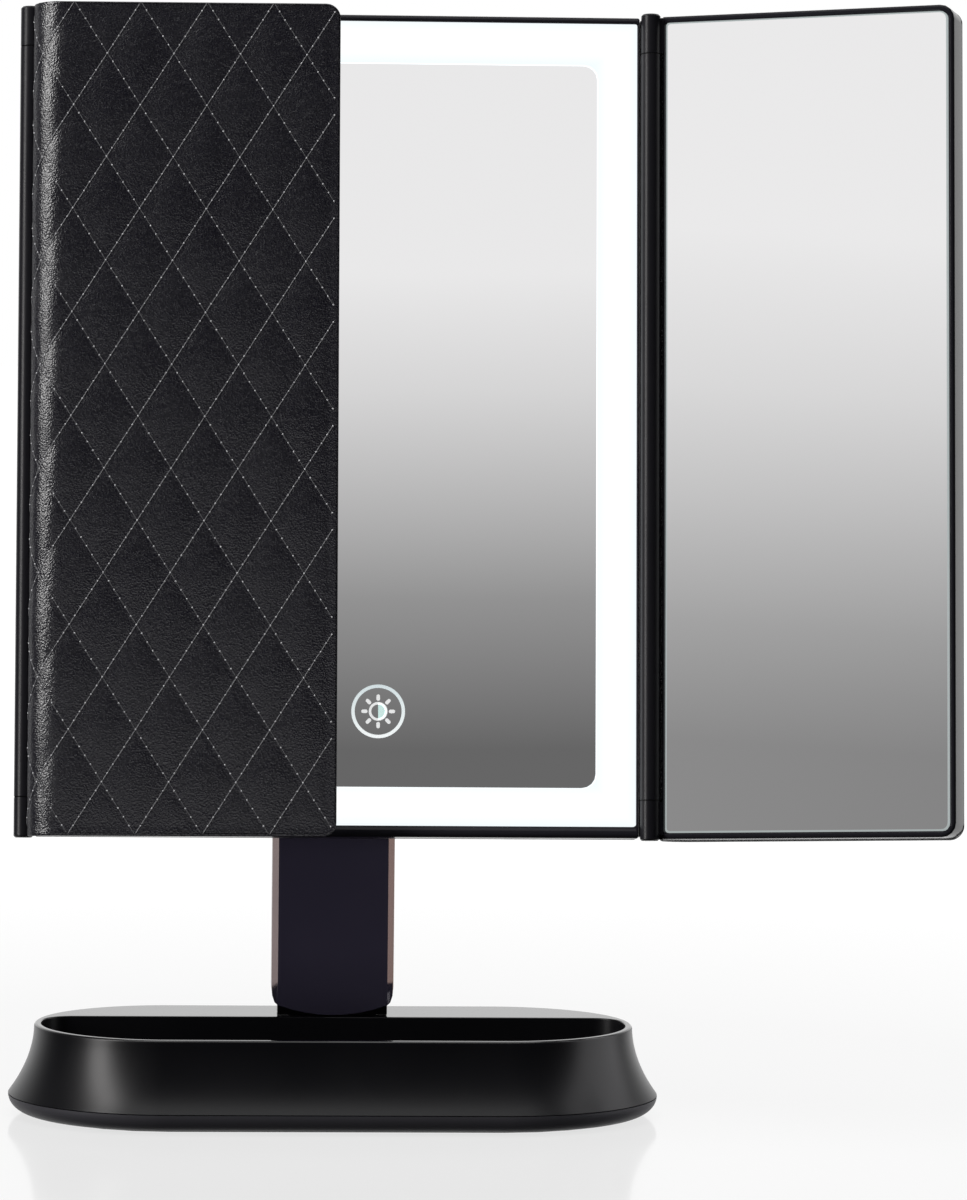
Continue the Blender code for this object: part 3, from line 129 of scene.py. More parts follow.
def makeLeatherGrain():
    # pebbles between fine creases, bent a little out of line; the creases take a darker colour as painted shade
    group, start, end = newGroup("leatherGrain", [
        ("Vector", vectorIn, None), ("Pebbles", floatIn, 1500.0),
        ("Colour", colourIn, (0.02, 0.02, 0.02, 1)), ("PaintedCreaseShade", colourIn, (0.01, 0.01, 0.01, 1)),
    ], [("Color", colourIn), ("Roughness", floatIn), ("Height", floatIn)])
    warp = addNode(group, "ShaderNodeTexNoise", {"Vector": start["Vector"], "Scale": 420.0, "Detail": 2.0})
    bent = addNode(group, "ShaderNodeVectorMath", {
        0: warp.outputs["Color"], "Scale": 0.9 * mm}, operation="SCALE")
    place = addNode(group, "ShaderNodeVectorMath", {0: start["Vector"], 1: bent.outputs[0]}, operation="ADD")
    pebble = addNode(group, "ShaderNodeTexVoronoi", {
        "Vector": place.outputs[0], "Scale": start["Pebbles"], "Randomness": 0.9, "Smoothness": 0.35,
    }, feature="SMOOTH_F1")
    broad = addNode(group, "ShaderNodeTexNoise", {"Vector": start["Vector"], "Scale": 60.0, "Detail": 3.0})
    dome = mathNode(group, "SUBTRACT", 1.0, pebble.outputs["Distance"])
    height = mathNode(group, "ADD", dome, mathNode(group, "MULTIPLY", warp.outputs["Fac"], 0.12))
    crown = addNode(group, "ShaderNodeMapRange", {"Value": dome, "From Min": 0.45, "From Max": 0.75})
    polish = mathNode(group, "MULTIPLY", crown.outputs["Result"], -0.08)
    rough = mathNode(group, "ADD", spread(group, broad.outputs["Fac"], 0.28, 0.38), polish)
    # painted shade: the creases are darker than the pebbles' crowns
    sendOut(group, end, Color=mixColour(group, crown.outputs["Result"], start["PaintedCreaseShade"], start["Colour"]),
            Roughness=rough, Height=height)
    return group


def makeMetalLines():
    # fine turning and drawing lines
    group, start, end = newGroup("metalLines", [
        ("Vector", vectorIn, None), ("Colour", colourIn, (0.5, 0.5, 0.5, 1)),
        ("Dull", colourIn, (0.3, 0.3, 0.3, 1)), ("Smooth", floatIn, 0.2), ("Rough", floatIn, 0.45),
    ], [("Color", colourIn), ("Roughness", floatIn), ("Height", floatIn)])
    drawn = addNode(group, "ShaderNodeMapping", {"Vector": start["Vector"], "Scale": (1.0, 1.0, 0.05)})
    lines = addNode(group, "ShaderNodeTexNoise", {
        "Vector": drawn.outputs[0], "Scale": 4000.0, "Detail": 3.0})
    stain = addNode(group, "ShaderNodeTexNoise", {"Vector": start["Vector"], "Scale": 180.0, "Detail": 4.0})
    sendOut(group, end, Color=mixColour(group, stain.outputs["Fac"], start["Colour"], start["Dull"]),
            Roughness=spread(group, lines.outputs["Fac"], start["Smooth"], start["Rough"]),
            Height=lines.outputs["Fac"])
    return group


mouldedSkin = makeMouldedSkin()
leatherGrain = makeLeatherGrain()
metalLines = makeMetalLines()


def newLook(name, **sockets):
    look = bpy.data.materials.new(name)
    look.use_nodes = True
    tree = look.node_tree
    shader = tree.nodes["Principled BSDF"]
    for label, value in sockets.items():
        shader.inputs[label.replace("_", " ")].default_value = value
    where = addNode(tree, "ShaderNodeTexCoord").outputs["Object"]
    return look, tree, shader, where


def useGroup(tree, shader, group, values, bump=0.0, depth=0.1 * mm):
    made = addNode(tree, "ShaderNodeGroup", values, node_tree=group)
    tree.links.new(made.outputs["Color"], shader.inputs["Base Color"])
    tree.links.new(made.outputs["Roughness"], shader.inputs["Roughness"])
    if bump:
        relief = addNode(tree, "ShaderNodeBump", {
            "Strength": bump, "Distance": depth, "Height": made.outputs["Height"]})
        tree.links.new(relief.outputs["Normal"], shader.inputs["Normal"])


def plasticLook(name, colour, pale, smooth, rough, grain=2500.0, bump=0.05, **sockets):
    look, tree, shader, where = newLook(name, **sockets)
    useGroup(tree, shader, mouldedSkin, {
        "Vector": where, "Grain": grain, "Colour": colour, "Pale": pale, "Smooth": smooth, "Rough": rough,
    }, bump, 0.05 * mm)
    return look


def metalLook(name, colour, dull, smooth, rough):
    look, tree, shader, where = newLook(name, Metallic=1.0)
    useGroup(tree, shader, metalLines, {
        "Vector": where, "Colour": colour, "Dull": dull, "Smooth": smooth, "Rough": rough}, 0.1, 0.02 * mm)
    return look


def leatherLook():
    look, tree, shader, where = newLook("quiltedLeatherette", Specular_IOR_Level=0.9)
    useGroup(tree, shader, leatherGrain, {
        "Vector": where, "Pebbles": 1900.0, "Colour": (0.0078, 0.007, 0.0138, 1),
        "PaintedCreaseShade": (0.005, 0.0045, 0.0088, 1)}, 0.8, 0.15 * mm)
    return look


def threadLook(name, hollow, crown):
    # two-ply thread: a fine noise between a darker and a paler tone, as painted shade in the ply's hollows and
    # painted highlight on its crowns
    look, tree, shader, where = newLook(name, Roughness=0.55)
    ply = addNode(tree, "ShaderNodeTexNoise", {"Vector": where, "Scale": 5200.0, "Detail": 1.0})
    colour = mixColour(tree, ply.outputs["Fac"], (*hollow, 1), (*crown, 1))
    tree.links.new(colour, shader.inputs["Base Color"])
    return look


def mirrorLook():
    # silvering, with a trace of wiping marks in the polish
    look, tree, shader, where = newLook("silveredGlass", Metallic=1.0)
    wiped = addNode(tree, "ShaderNodeMapping", {"Vector": where, "Scale": (9.0, 9.0, 3.0)})
    marks = addNode(tree, "ShaderNodeTexNoise", {"Vector": wiped.outputs[0], "Scale": 3.0, "Detail": 5.0})
    tree.links.new(spread(tree, marks.outputs["Fac"], 0.0, 0.015), shader.inputs["Roughness"])
    colour = mixColour(tree, marks.outputs["Fac"], (0.945, 0.938, 0.942, 1), (0.95, 0.945, 0.95, 1))
    tree.links.new(colour, shader.inputs["Base Color"])
    return look


def glassEdgePaintedGlowLook():
    # ground and polished glass, faintly green in its depth, with a faint painted glow for a highlight along the
    # bevel
    look, tree, shader, where = newLook("glassEdgePaintedGlow", Roughness=0.2, Emission_Strength=0.45)
    # painted glow: the bevel emits a pale light though it is no lamp
    shader.inputs["Emission Color"].default_value = (0.78, 0.86, 0.86, 1)
    ground = addNode(tree, "ShaderNodeTexNoise", {"Vector": where, "Scale": 900.0, "Detail": 2.0})
    colour = mixColour(tree, ground.outputs["Fac"], (0.36, 0.42, 0.41, 1), (0.5, 0.55, 0.55, 1))
    tree.links.new(colour, shader.inputs["Base Color"])
    return look


# the light band's middle line, from the panel's middle, and where its light cools
bandLine = {
    "across": 82.9 * mm, "along": 114.6 * mm, "rise": 0.75 * mm, "coolFrom": 3.0 * mm, "coolTo": 6.4 * mm,
}


def bandLook():
    # opal band: whitest over the strip, faintly cool towards its edges
    look, tree, shader, where = newLook("litOpal", Roughness=0.25, Emission_Strength=1.0)
    shader.inputs["Base Color"].default_value = (0.12, 0.12, 0.12, 1)
    level = addNode(tree, "ShaderNodeMapping", {
        "Vector": where, "Location": headPlace.to_translation(), "Rotation": headPlace.to_euler(),
    }, vector_type="TEXTURE")
    parts = addNode(tree, "ShaderNodeSeparateXYZ", {0: level.outputs[0]}).outputs
    across = mathNode(tree, "SUBTRACT", mathNode(tree, "ABSOLUTE", parts["X"]), bandLine["across"])
    risen = mathNode(tree, "SUBTRACT", parts["Z"], bandLine["rise"])
    along = mathNode(tree, "SUBTRACT", mathNode(tree, "ABSOLUTE", risen), bandLine["along"])
    off = mathNode(tree, "ABSOLUTE", mathNode(tree, "MAXIMUM", across, along))
    edge = addNode(tree, "ShaderNodeMapRange", {
        "Value": off, "From Min": bandLine["coolFrom"], "From Max": bandLine["coolTo"]})
    colour = mixColour(tree, edge.outputs["Result"], (1.0, 1.0, 1.0, 1), (0.9, 0.97, 1.0, 1))
    tree.links.new(colour, shader.inputs["Emission Color"])
    return look


looks = {
    "glossBlack": plasticLook("glossBlack", (0.02, 0.0195, 0.025, 1), (0.025, 0.0245, 0.03, 1),
                              0.12, 0.2, 900.0, 0.0, IOR=1.22),
    "barrelBlack": plasticLook("barrelBlack", (0.012, 0.0117, 0.015, 1), (0.016, 0.0157, 0.019, 1),
                               0.28, 0.4, 1500.0, 0.0, IOR=1.36),
    "baseBlack": plasticLook("baseBlack", (0.0045, 0.0045, 0.0058, 1), (0.0065, 0.0065, 0.008, 1),
                             0.26, 0.36, 1500.0, 0.0, IOR=1.42),
    "deckBlack": plasticLook("deckBlack", (0.0045, 0.0045, 0.0058, 1), (0.0065, 0.0065, 0.008, 1),
                             0.06, 0.12, 1500.0, 0.0, IOR=1.7),
    "lipBlack": plasticLook("lipBlack", (0.05, 0.049, 0.058, 1), (0.06, 0.059, 0.068, 1),
                            0.4, 0.55, 1500.0, 0.0),
    "neckBlack": plasticLook("neckBlack", (0.0145, 0.0132, 0.0215, 1), (0.016, 0.0145, 0.0235, 1),
                             0.12, 0.2, 900.0, 0.0),
    "satinBlack": plasticLook("satinBlack", (0.009, 0.009, 0.0105, 1), (0.015, 0.015, 0.017, 1),
                              0.36, 0.55, 2200.0, 0.35),
    "leather": leatherLook(),
    # one thread in three looks: plain, darker as painted shade, and paler as painted highlight
    "thread": threadLook("greyThread", (0.13, 0.13, 0.138), (0.27, 0.27, 0.285)),
    "threadPaintedShade": threadLook("paintedShadeThread", (0.085, 0.085, 0.091), (0.17, 0.17, 0.18)),
    "threadPaintedHighlight": threadLook("paintedHighlightThread", (0.42, 0.42, 0.44), (0.72, 0.72, 0.74)),
    "mirror": mirrorLook(),
    "glassEdgePaintedGlow": glassEdgePaintedGlowLook(),
    "band": bandLook(),
    "steel": metalLook("screwSteel", (0.6, 0.6, 0.61, 1), (0.42, 0.42, 0.43, 1), 0.22, 0.42),
    "iron": metalLook("ballastIron", (0.14, 0.14, 0.145, 1), (0.07, 0.065, 0.06, 1), 0.5, 0.75),
    "brass": metalLook("turnedBrass", (0.66, 0.48, 0.2, 1), (0.5, 0.34, 0.14, 1), 0.22, 0.4),
    "rubber": plasticLook("padRubber", (0.012, 0.012, 0.012, 1), (0.022, 0.022, 0.022, 1),
                          0.75, 0.95, 1800.0, 0.6),
    "white": plasticLook("reflectorWhite", (0.85, 0.85, 0.83, 1), (0.78, 0.78, 0.75, 1), 0.45, 0.65),
    "board": plasticLook("solderMask", (0.015, 0.13, 0.05, 1), (0.03, 0.2, 0.09, 1), 0.3, 0.5),
    "wrap": plasticLook("shrinkWrap", (0.09, 0.16, 0.4, 1), (0.14, 0.22, 0.48, 1), 0.3, 0.45),
}
slotLooks = {
    "gloss_black": "glossBlack", "satin_black": "satinBlack", "leatherette": "leather",
    "silvered_glass": "mirror", "opal_acrylic": "band", "steel": "steel", "ballast_iron": "iron",
    "brass": "brass", "pad_rubber": "rubber", "white_plastic": "white", "circuit_board": "board",
    "battery_wrap": "wrap",
}
for part in frame["record"]["subparts"]:
    data = nodes[part["node"]].data
    data.materials.clear()
    data.materials.append(looks[slotLooks[part["material_slot"]]])
print("materials made:", len(looks))


# meshes
def newMesh(name, mesh):
    data = bpy.data.meshes.new(name)
    mesh.to_mesh(data)
    mesh.free()
    return data


def newObject(name, data):
    made = bpy.data.objects.new(name, data)
    bpy.context.scene.collection.objects.link(made)
    return made


def addPiece(name, mesh, look, body, sharp=35, second=None):
    data = newMesh(name, mesh)
    for label in filter(None, (look, second)):
        data.materials.append(looks[label])
    data.shade_smooth()
    data.set_sharp_from_angle(angle=radians(sharp))
    made = newObject(name, data)
    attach(made, body)
    return made


def evenNormals(piece):
    change = piece.modifiers.new("evenNormals", "WEIGHTED_NORMAL")
    change.keep_sharp = True


def onlyVerts(made):
    return [item for item in made if isinstance(item, bmesh.types.BMVert)]


def freshRing(made):
    fresh = onlyVerts(made)
    known = set(fresh)
    edges = [item for item in made if isinstance(item, bmesh.types.BMEdge)]
    return fresh, [edge for edge in edges if known.issuperset(edge.verts)]


def everything(mesh):
    return mesh.verts[:] + mesh.edges[:] + mesh.faces[:]


def carve(mesh, cutter):
    # cuts one bmesh from another through throwaway objects
    body = newObject("carveBody", newMesh("carveBody", mesh))
    tool = newObject("carveTool", newMesh("carveTool", cutter))
    change = body.modifiers.new("carve", "BOOLEAN")
    change.operation = "DIFFERENCE"
    change.solver = "EXACT"
    change.object = tool
    result = bmesh.new()
    result.from_object(body, bpy.context.evaluated_depsgraph_get())
    for blank in (body, tool):
        bpy.data.meshes.remove(blank.data)
    return result


# tray base
base = {
    "width": 195 * mm, "depth": 95.8 * mm, "flare": 7.7 * mm, "foot": 6.35 * mm, "rim": 27.2 * mm,
    "rimRound": 0.8 * mm, "rimWall": 2.1 * mm, "wall": 2.0 * mm, "deckFront": 13.7 * mm,
    "deckUnder": 23.2 * mm, "trayFloor": 11.2 * mm, "trayRound": 3.0 * mm, "trayCorner": 9.0 * mm,
    "edgeRound": 0.45 * mm, "edgeAngle": radians(60), "edgeSteps": 3, "crownFacing": 0.6,
    "flat": radians(0.1), "near": 0.01 * mm, "merge": 0.004 * mm, "past": 1.0 * mm,
    "lipTop": 6.05 * mm, "lipLow": 0.6 * mm, "lipInset": 7.0 * mm, "lipWall": 2.6 * mm,
    "padSeat": 1.5 * mm, "padInset": 9.0 * mm, "plateTop": 4.0 * mm, "endSteps": 48, "flareSteps": 14,
    "hollowSteps": 8, "rimSteps": 5, "lipSteps": 12, "trayRoundSteps": 8,
    "stemHalf": (13.3 * mm, 2.3 * mm), "stemY": 21.75 * mm,
}


def stadiumDisc(mesh, inset, level):
    steps = base["endSteps"] * 2
    half = base["depth"] / 2
    turn = Matrix.Translation((0, 0, level)) @ Matrix.Rotation(pi / steps, 4, "Z")
    disc = bmesh.ops.create_circle(mesh, cap_ends=True, segments=steps, radius=half - inset, matrix=turn)
    for way in (-1, 1):
        end = [vertex for vertex in disc["verts"] if vertex.co.x * way > 0]
        bmesh.ops.translate(mesh, verts=end, vec=(way * (base["width"] / 2 - half), 0, 0))
    return disc["verts"]


def stadiumLoft(stations):
    # closed body through rings given as inset and level, from the first to the last
    mesh = bmesh.new()
    middle = base["width"] / 2 - base["depth"] / 2
    inset, level = stations[0]
    ring = stadiumDisc(mesh, inset, level)
    edges = list(mesh.edges)
    for nextInset, level in stations[1:]:
        ring, edges = freshRing(bmesh.ops.extrude_edge_only(mesh, edges=edges)["geom"])
        for vertex in ring:
            out = Vector((vertex.co.x - copysign(middle, vertex.co.x), vertex.co.y, 0)).normalized()
            vertex.co -= out * (nextInset - inset)
            vertex.co.z = level
        inset = nextInset
    bmesh.ops.holes_fill(mesh, edges=edges, sides=0)
    bmesh.ops.recalc_face_normals(mesh, faces=mesh.faces)
    return mesh


def flareStations(inset, low, high, steps):
    stations = []
    for step in range(steps + 1):
        level = low + (high - low) * step / steps
        drop = (base["rim"] - level) / (base["rim"] - base["foot"])
        stations.append((inset + base["flare"] * (1 - drop * drop), level))
    return stations


def edgesAt(mesh, level):
    return [edge for edge in mesh.edges if all(abs(v.co.z - level) < base["near"] for v in edge.verts)]


def trayBlock(grow, low, high, rounding):
    # the rim's outline, turned by round corners into a straight edge along the deck
    middle = base["width"] / 2 - base["depth"] / 2
    radius = base["depth"] / 2 - base["flare"] - base["rimWall"]
    corner, back = base["trayCorner"], base["deckFront"] - base["trayCorner"]
    across = sqrt((radius - corner) ** 2 - back * back)
    mesh = bmesh.new()
    for level in (low, high):
        for way in (-1, 1):
            place = Matrix.Translation((way * middle, 0, level))
            ring = bmesh.ops.create_circle(mesh, segments=4 * base["endSteps"], radius=radius + grow,
                                           matrix=place)["verts"]
            beyond = [vertex for vertex in ring
                      if vertex.co.y * across > (vertex.co.x * way - middle) * back]
            bmesh.ops.delete(mesh, geom=beyond, context="VERTS")
            place = Matrix.Translation((way * (middle + across), back, level))
            bmesh.ops.create_circle(mesh, segments=2 * base["endSteps"], radius=corner + grow, matrix=place)
    hull = bmesh.ops.convex_hull(mesh, input=mesh.verts[:])
    spare = onlyVerts(hull["geom_interior"] + hull["geom_unused"])
    bmesh.ops.delete(mesh, geom=spare, context="VERTS")
    bmesh.ops.dissolve_limit(mesh, angle_limit=base["flat"], verts=mesh.verts, edges=mesh.edges)
    bmesh.ops.recalc_face_normals(mesh, faces=mesh.faces)
    if rounding:
        bmesh.ops.bevel(mesh, geom=edgesAt(mesh, low), offset=rounding, affect="EDGES",
                        segments=base["trayRoundSteps"], profile=0.5, material=-1)
    return mesh


def boxMesh(low, high):
    mesh = bmesh.new()
    bmesh.ops.create_cube(mesh, size=1.0)
    low, high = Vector(low), Vector(high)
    bmesh.ops.scale(mesh, verts=mesh.verts, vec=high - low)
    bmesh.ops.translate(mesh, verts=mesh.verts, vec=(low + high) / 2)
    return mesh


def makeBase():
    rim, rounding, past = base["rim"], base["rimRound"], base["past"]
    stations = flareStations(0.0, base["foot"], rim - rounding, base["flareSteps"])
    for step in range(1, base["rimSteps"] + 1):
        turn = pi / 2 * step / base["rimSteps"]
        stations.append((base["flare"] + rounding * (1 - cos(turn)), rim - rounding * (1 - sin(turn))))
    shell = stadiumLoft(stations)
    inside = flareStations(base["wall"], base["foot"] - past, base["deckUnder"], base["hollowSteps"])
    under = trayBlock(base["wall"], base["trayFloor"] - base["wall"], rim + past, 0.0)
    shell = carve(shell, carve(stadiumLoft(inside), under))
    shell = carve(shell, trayBlock(0.0, base["trayFloor"], rim + past, base["trayRound"]))
    halfWidth, halfDepth = base["stemHalf"]
    shell = carve(shell, boxMesh((-halfWidth, base["stemY"] - halfDepth, base["deckUnder"] - past),
                                 (halfWidth, base["stemY"] + halfDepth, rim + past)))
    bmesh.ops.remove_doubles(shell, verts=shell.verts, dist=base["merge"])
    brink = [edge for edge in edgesAt(shell, rim)
             if edge.is_manifold and edge.calc_face_angle() > base["edgeAngle"]]
    bmesh.ops.bevel(shell, geom=brink, offset=base["edgeRound"], affect="EDGES", clamp_overlap=True,
                    segments=base["edgeSteps"], profile=0.5, material=-1)
    for face in shell.faces:
        # the deck and the rim's crown are polished
        if face.normal.z > base["crownFacing"] and face.calc_center_median().z > rim - past:
            face.material_index = 1
    piece = addPiece("trayShell", shell, "baseBlack", "stand", second="deckBlack")
    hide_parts("base_shell")
    evenNormals(piece)

    stations = [(base["padInset"], base["padSeat"]), (base["padInset"], base["lipLow"])]
    for step in range(base["lipSteps"] + 1):
        turn = pi / 2 * (1 - step / base["lipSteps"])
        stations.append((base["lipInset"] * (1 - cos(turn)),
                         base["lipTop"] - (base["lipTop"] - base["lipLow"]) * sin(turn)))
    stations += [(base["lipWall"], base["lipTop"]), (base["lipWall"], base["plateTop"])]
    piece = addPiece("trayLip", stadiumLoft(stations), "lipBlack", "stand")
    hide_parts("base_plate")
    evenNormals(piece)


makeBase()
print("tray base made")

# hard pieces whose solid has the right form: merged copies, softened where a rounding is given
softEdges = {"angle": radians(52), "merge": 0.01 * mm, "flat": radians(0.5), "segments": 2}
hardCopies = [
    ("neckFront", "neck_front_shell", "stand", "gloss_black", "neckBlack", 0.2 * mm, 30),
    ("neckRear", "neck_rear_shell", "stand", "gloss_black", "neckBlack", 0.2 * mm, 30),
    ("panelFrame", "front_frame", "head", "gloss_black", "glossBlack", 0.0, 50),
    ("panelBack", "rear_housing", "head", "satin_black", "satinBlack", 0.0, 50),
    ("tiltFork", "tilt_bracket", "head", "satin_black", "satinBlack", 0.0, 50),
    ("leftBarrel", "left_hinge_barrel", "head", "gloss_black", "barrelBlack", 0.2 * mm, 50),
    ("rightBarrel", "right_hinge_barrel", "head", "gloss_black", "barrelBlack", 0.2 * mm, 50),
    ("leftWingRim", "left_wing_frame", "left_wing", "gloss_black", "glossBlack", 0.0, 50),
    ("rightWingRim", "right_wing_frame", "right_wing", "gloss_black", "glossBlack", 0.0, 50),
    ("leftWingGlass", "left_wing_mirror", "left_wing", "silvered_glass", "mirror", 0.0, 20),
    ("rightWingGlass", "right_wing_mirror", "right_wing", "silvered_glass", "mirror", 0.0, 20),
]
knuckleRadius = 3.0 * mm
glassFacing = 0.99                         # a face turned further than this belongs to the bevel
neckCut = 38.0 * mm                        # an edge here keeps the corner's shading off the long faces


def markKnuckles(mesh, side):
    # the wing's knuckles are as dull as the barrel between them
    toHinge = wingPlaces[side].inverted()
    for face in mesh.faces:
        middle = toHinge @ face.calc_center_median()
        face.material_index = int(hypot(middle.x, middle.y) < knuckleRadius)
    return "barrelBlack"


def markGlassEdgePaintedGlow(mesh, side):
    # the glass is polished, not silvered, along its bevel, and gets a painted glow there
    facing = wingPlaces[side].to_3x3() @ Vector((0, 1, 0))
    for face in mesh.faces:
        face.material_index = int(abs(face.normal.dot(facing)) < glassFacing)
    return "glassEdgePaintedGlow"


def makeHardCopies():
    for name, nodeName, body, slot, look, rounding, sharp in hardCopies:
        mesh = bmesh.new()
        mesh.from_mesh(nodes[nodeName].data)
        bmesh.ops.remove_doubles(mesh, verts=mesh.verts, dist=softEdges["merge"])
        bmesh.ops.dissolve_limit(mesh, angle_limit=softEdges["flat"], verts=mesh.verts, edges=mesh.edges)
        if nodeName.startswith("neck"):
            bmesh.ops.bisect_plane(mesh, geom=everything(mesh), plane_co=(0, 0, neckCut), plane_no=(0, 0, 1))
        if rounding:
            corners = [edge for edge in mesh.edges
                       if edge.is_manifold and edge.calc_face_angle() > softEdges["angle"]]
            bmesh.ops.bevel(mesh, geom=corners, offset=rounding, affect="EDGES", clamp_overlap=True,
                            segments=softEdges["segments"], profile=0.5, material=-1)
        second = None
        side = nodeName.split("_")[0]
        if nodeName.endswith("wing_frame"):
            second = markKnuckles(mesh, side)
        if nodeName.endswith("wing_mirror"):
            second = markGlassEdgePaintedGlow(mesh, side)
        piece = addPiece(name, mesh, look, body, sharp, second)
        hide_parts(nodeName)
        evenNormals(piece)


# thin dark washers between the barrels and the wings' knuckles; they fill the gaps with dark stuff as painted
# shade
gapShadeWasher = {"radius": 2.75 * mm, "thickness": 0.24 * mm, "level": 112.2 * mm, "steps": 32}


# painted shade: dark rings that stand in for the shade in the hinge gaps
def makeHingeGapShadeWashers():
    for side in wingSigns:
        mesh = bmesh.new()
        for up in (-1, 1):
            place = Matrix.Translation((0, 0, up * gapShadeWasher["level"]))
            bmesh.ops.create_cone(mesh, cap_ends=True, segments=gapShadeWasher["steps"], radius1=gapShadeWasher["radius"],
                                  radius2=gapShadeWasher["radius"], depth=gapShadeWasher["thickness"], matrix=place)
        stand = Matrix.Translation(joints[f"{side}_wing_fold"]["pos_m"]) @ lean
        bmesh.ops.transform(mesh, verts=mesh.verts, matrix=stand)
        addPiece(f"{side}HingeGapShadeWashers", mesh, "rubber", "head")


makeHingeGapShadeWashers()
makeHardCopies()
print("hard pieces finished:", len(hardCopies))

# quilted covers, measured from the wing's free edge round to the spine's foot
# the leather is turned over the wing's rim, and the sewn grid is laid out over the whole wing
quilt = {
    "pitch": 19.75 * mm, "rowPitch": 30.925 * mm, "rows": 8, "half": 123.95 * mm, "drop": 0.2 * mm,
    "freeEdge": 92.55 * mm, "over": 0.05 * mm, "back": 14.0 * mm, "spineRadius": 9.0 * mm,
    "spineX": 10.3 * mm, "footY": 3.8 * mm, "thickness": 2.7 * mm, "sink": 0.05 * mm, "puff": 0.44 * mm,
    "reach": 3.2 * mm, "freeCorner": 4.35 * mm, "spineCorner": 4.0 * mm, "cornerZone": 10.0 * mm,
    "perPitch": 24, "sewnWithin": 0.01, "near": 0.01 * mm, "fill": 0.45,
}
# the turned edge: lines of the sheet there, rise over the rim, and its roll
turned = {
    "lines": [off * mm for off in (0.0, 0.03, 0.1, 0.2, 0.35, 0.6, 1.0, 1.5, 2.2, 3.0)],
    "from": 3.0 * mm, "to": 1.0 * mm, "rise": 0.05 * mm, "roll": 0.35 * mm,
    "drop": 0.45 * mm, "tuck": 1.2 * mm, "heldPast": 0.1 * mm, "clear": 0.3,
}
# the padding's swell: the sheet simulated flat and ten times up, held along the sewn lines
sheet = {
    "scale": 10.0, "frames": 12, "quality": 6, "mass": 0.3, "stiffness": 40.0, "shear": 20.0,
    "bending": 0.5, "pressure": 4.0, "damping": 3.0,
}
stitch = {
    "perCrossing": 6, "length": 2.6 * mm, "radius": 0.18 * mm, "sunkRadius": 0.14 * mm, "dot": 0.27 * mm,
    "dotLength": 0.648 * mm, "lift": 0.05 * mm, "margin": 1.2 * mm, "beadSteps": (6, 5), "lead": 0.1,
}
flatLength = quilt["freeEdge"] - quilt["spineX"]
bendLength = pi / 2 * quilt["spineRadius"]
coverLength = flatLength + bendLength + quilt["back"] - quilt["spineRadius"] - quilt["footY"]


def coverPoint(along, level, height):
    # point at a length from the free edge, raised by a height over the cover's face
    radius = quilt["spineRadius"] + height
    centreY = quilt["back"] - quilt["spineRadius"]
    level -= quilt["drop"]
    if along <= flatLength:
        return Vector((quilt["freeEdge"] - along, centreY + radius, level))
    turn = (along - flatLength) / quilt["spineRadius"]
    if turn <= pi / 2:
        return Vector((quilt["spineX"] - radius * sin(turn), centreY + radius * cos(turn), level))
    return Vector((quilt["spineX"] - radius, centreY - (along - flatLength - bendLength), level))


def coverHalf(along):
    # half height of the cover, less at its round corners
    for reach, radius in ((along, quilt["freeCorner"]), (coverLength - along, quilt["spineCorner"])):
        if reach < radius:
            return quilt["half"] - radius + sqrt(radius * radius - (radius - max(reach, 0.0)) ** 2)
    return quilt["half"]


def lineSteps(along, level):
    # places across the two families of sewn lines, which lie at whole numbers
    across = (along - quilt["over"]) / quilt["pitch"]
    down = (quilt["half"] - quilt["over"] - level) / quilt["rowPitch"]
    return across + down, across - down


def offLine(step):
    # distance to the nearest whole number
    return abs((step + 0.5) % 1.0 - 0.5)


def skinHeight(along, level, swell=0.0):
    # height over the wing's back: sewn down, swollen between the lines, turned over the rim
    height = quilt["puff"] * swell - quilt["sink"]
    edge = min(along, quilt["half"] - abs(level))
    if edge < turned["from"]:
        share = min(1.0, (turned["from"] - edge) / (turned["from"] - turned["to"]))
        height += turned["rise"] * share * share * (3 - 2 * share)
    if edge < turned["roll"]:
        height -= turned["drop"] * (1 - sqrt(max(0.0, 1 - (1 - edge / turned["roll"]) ** 2)))
    return height


def sheetLines(step, end, farEdge):
    near = turned["lines"]
    far = [end - off for off in reversed(near)] if farEdge else [end]
    gap = turned["clear"] * step
    between = [count * step + quilt["over"] for count in range(round(end / step) + 1)]
    return near + [place for place in between if near[-1] < place - gap and place + gap < far[0]] + far


sheetAlongs = sheetLines(quilt["pitch"] / quilt["perPitch"], coverLength, False)
sheetDowns = sheetLines(quilt["rowPitch"] / quilt["perPitch"], 2 * quilt["half"], True)
sheetLevels = [quilt["half"] - down for down in sheetDowns]


def sheetGrid():
    # the flat sheet, its places, and its vertices that are held down
    mesh = bmesh.new()
    columns, rows = len(sheetAlongs) - 1, len(sheetLevels) - 1
    bmesh.ops.create_grid(mesh, x_segments=columns, y_segments=rows, size=0.5)
    places, held = [], []
    for vertex in mesh.verts:
        along = sheetAlongs[round((vertex.co.x + 0.5) * columns)]
        level = sheetLevels[round((vertex.co.y + 0.5) * rows)]
        places.append((along, level))
        sewn = min(map(offLine, lineSteps(along, level))) < quilt["sewnWithin"]
        edge = min(along, quilt["half"] - abs(level))
        if sewn or edge < turned["from"] + turned["heldPast"] or along == coverLength:
            held.append(vertex)
    bmesh.ops.connect_verts(mesh, verts=held)
    mesh.verts.index_update()
    return mesh, places, held


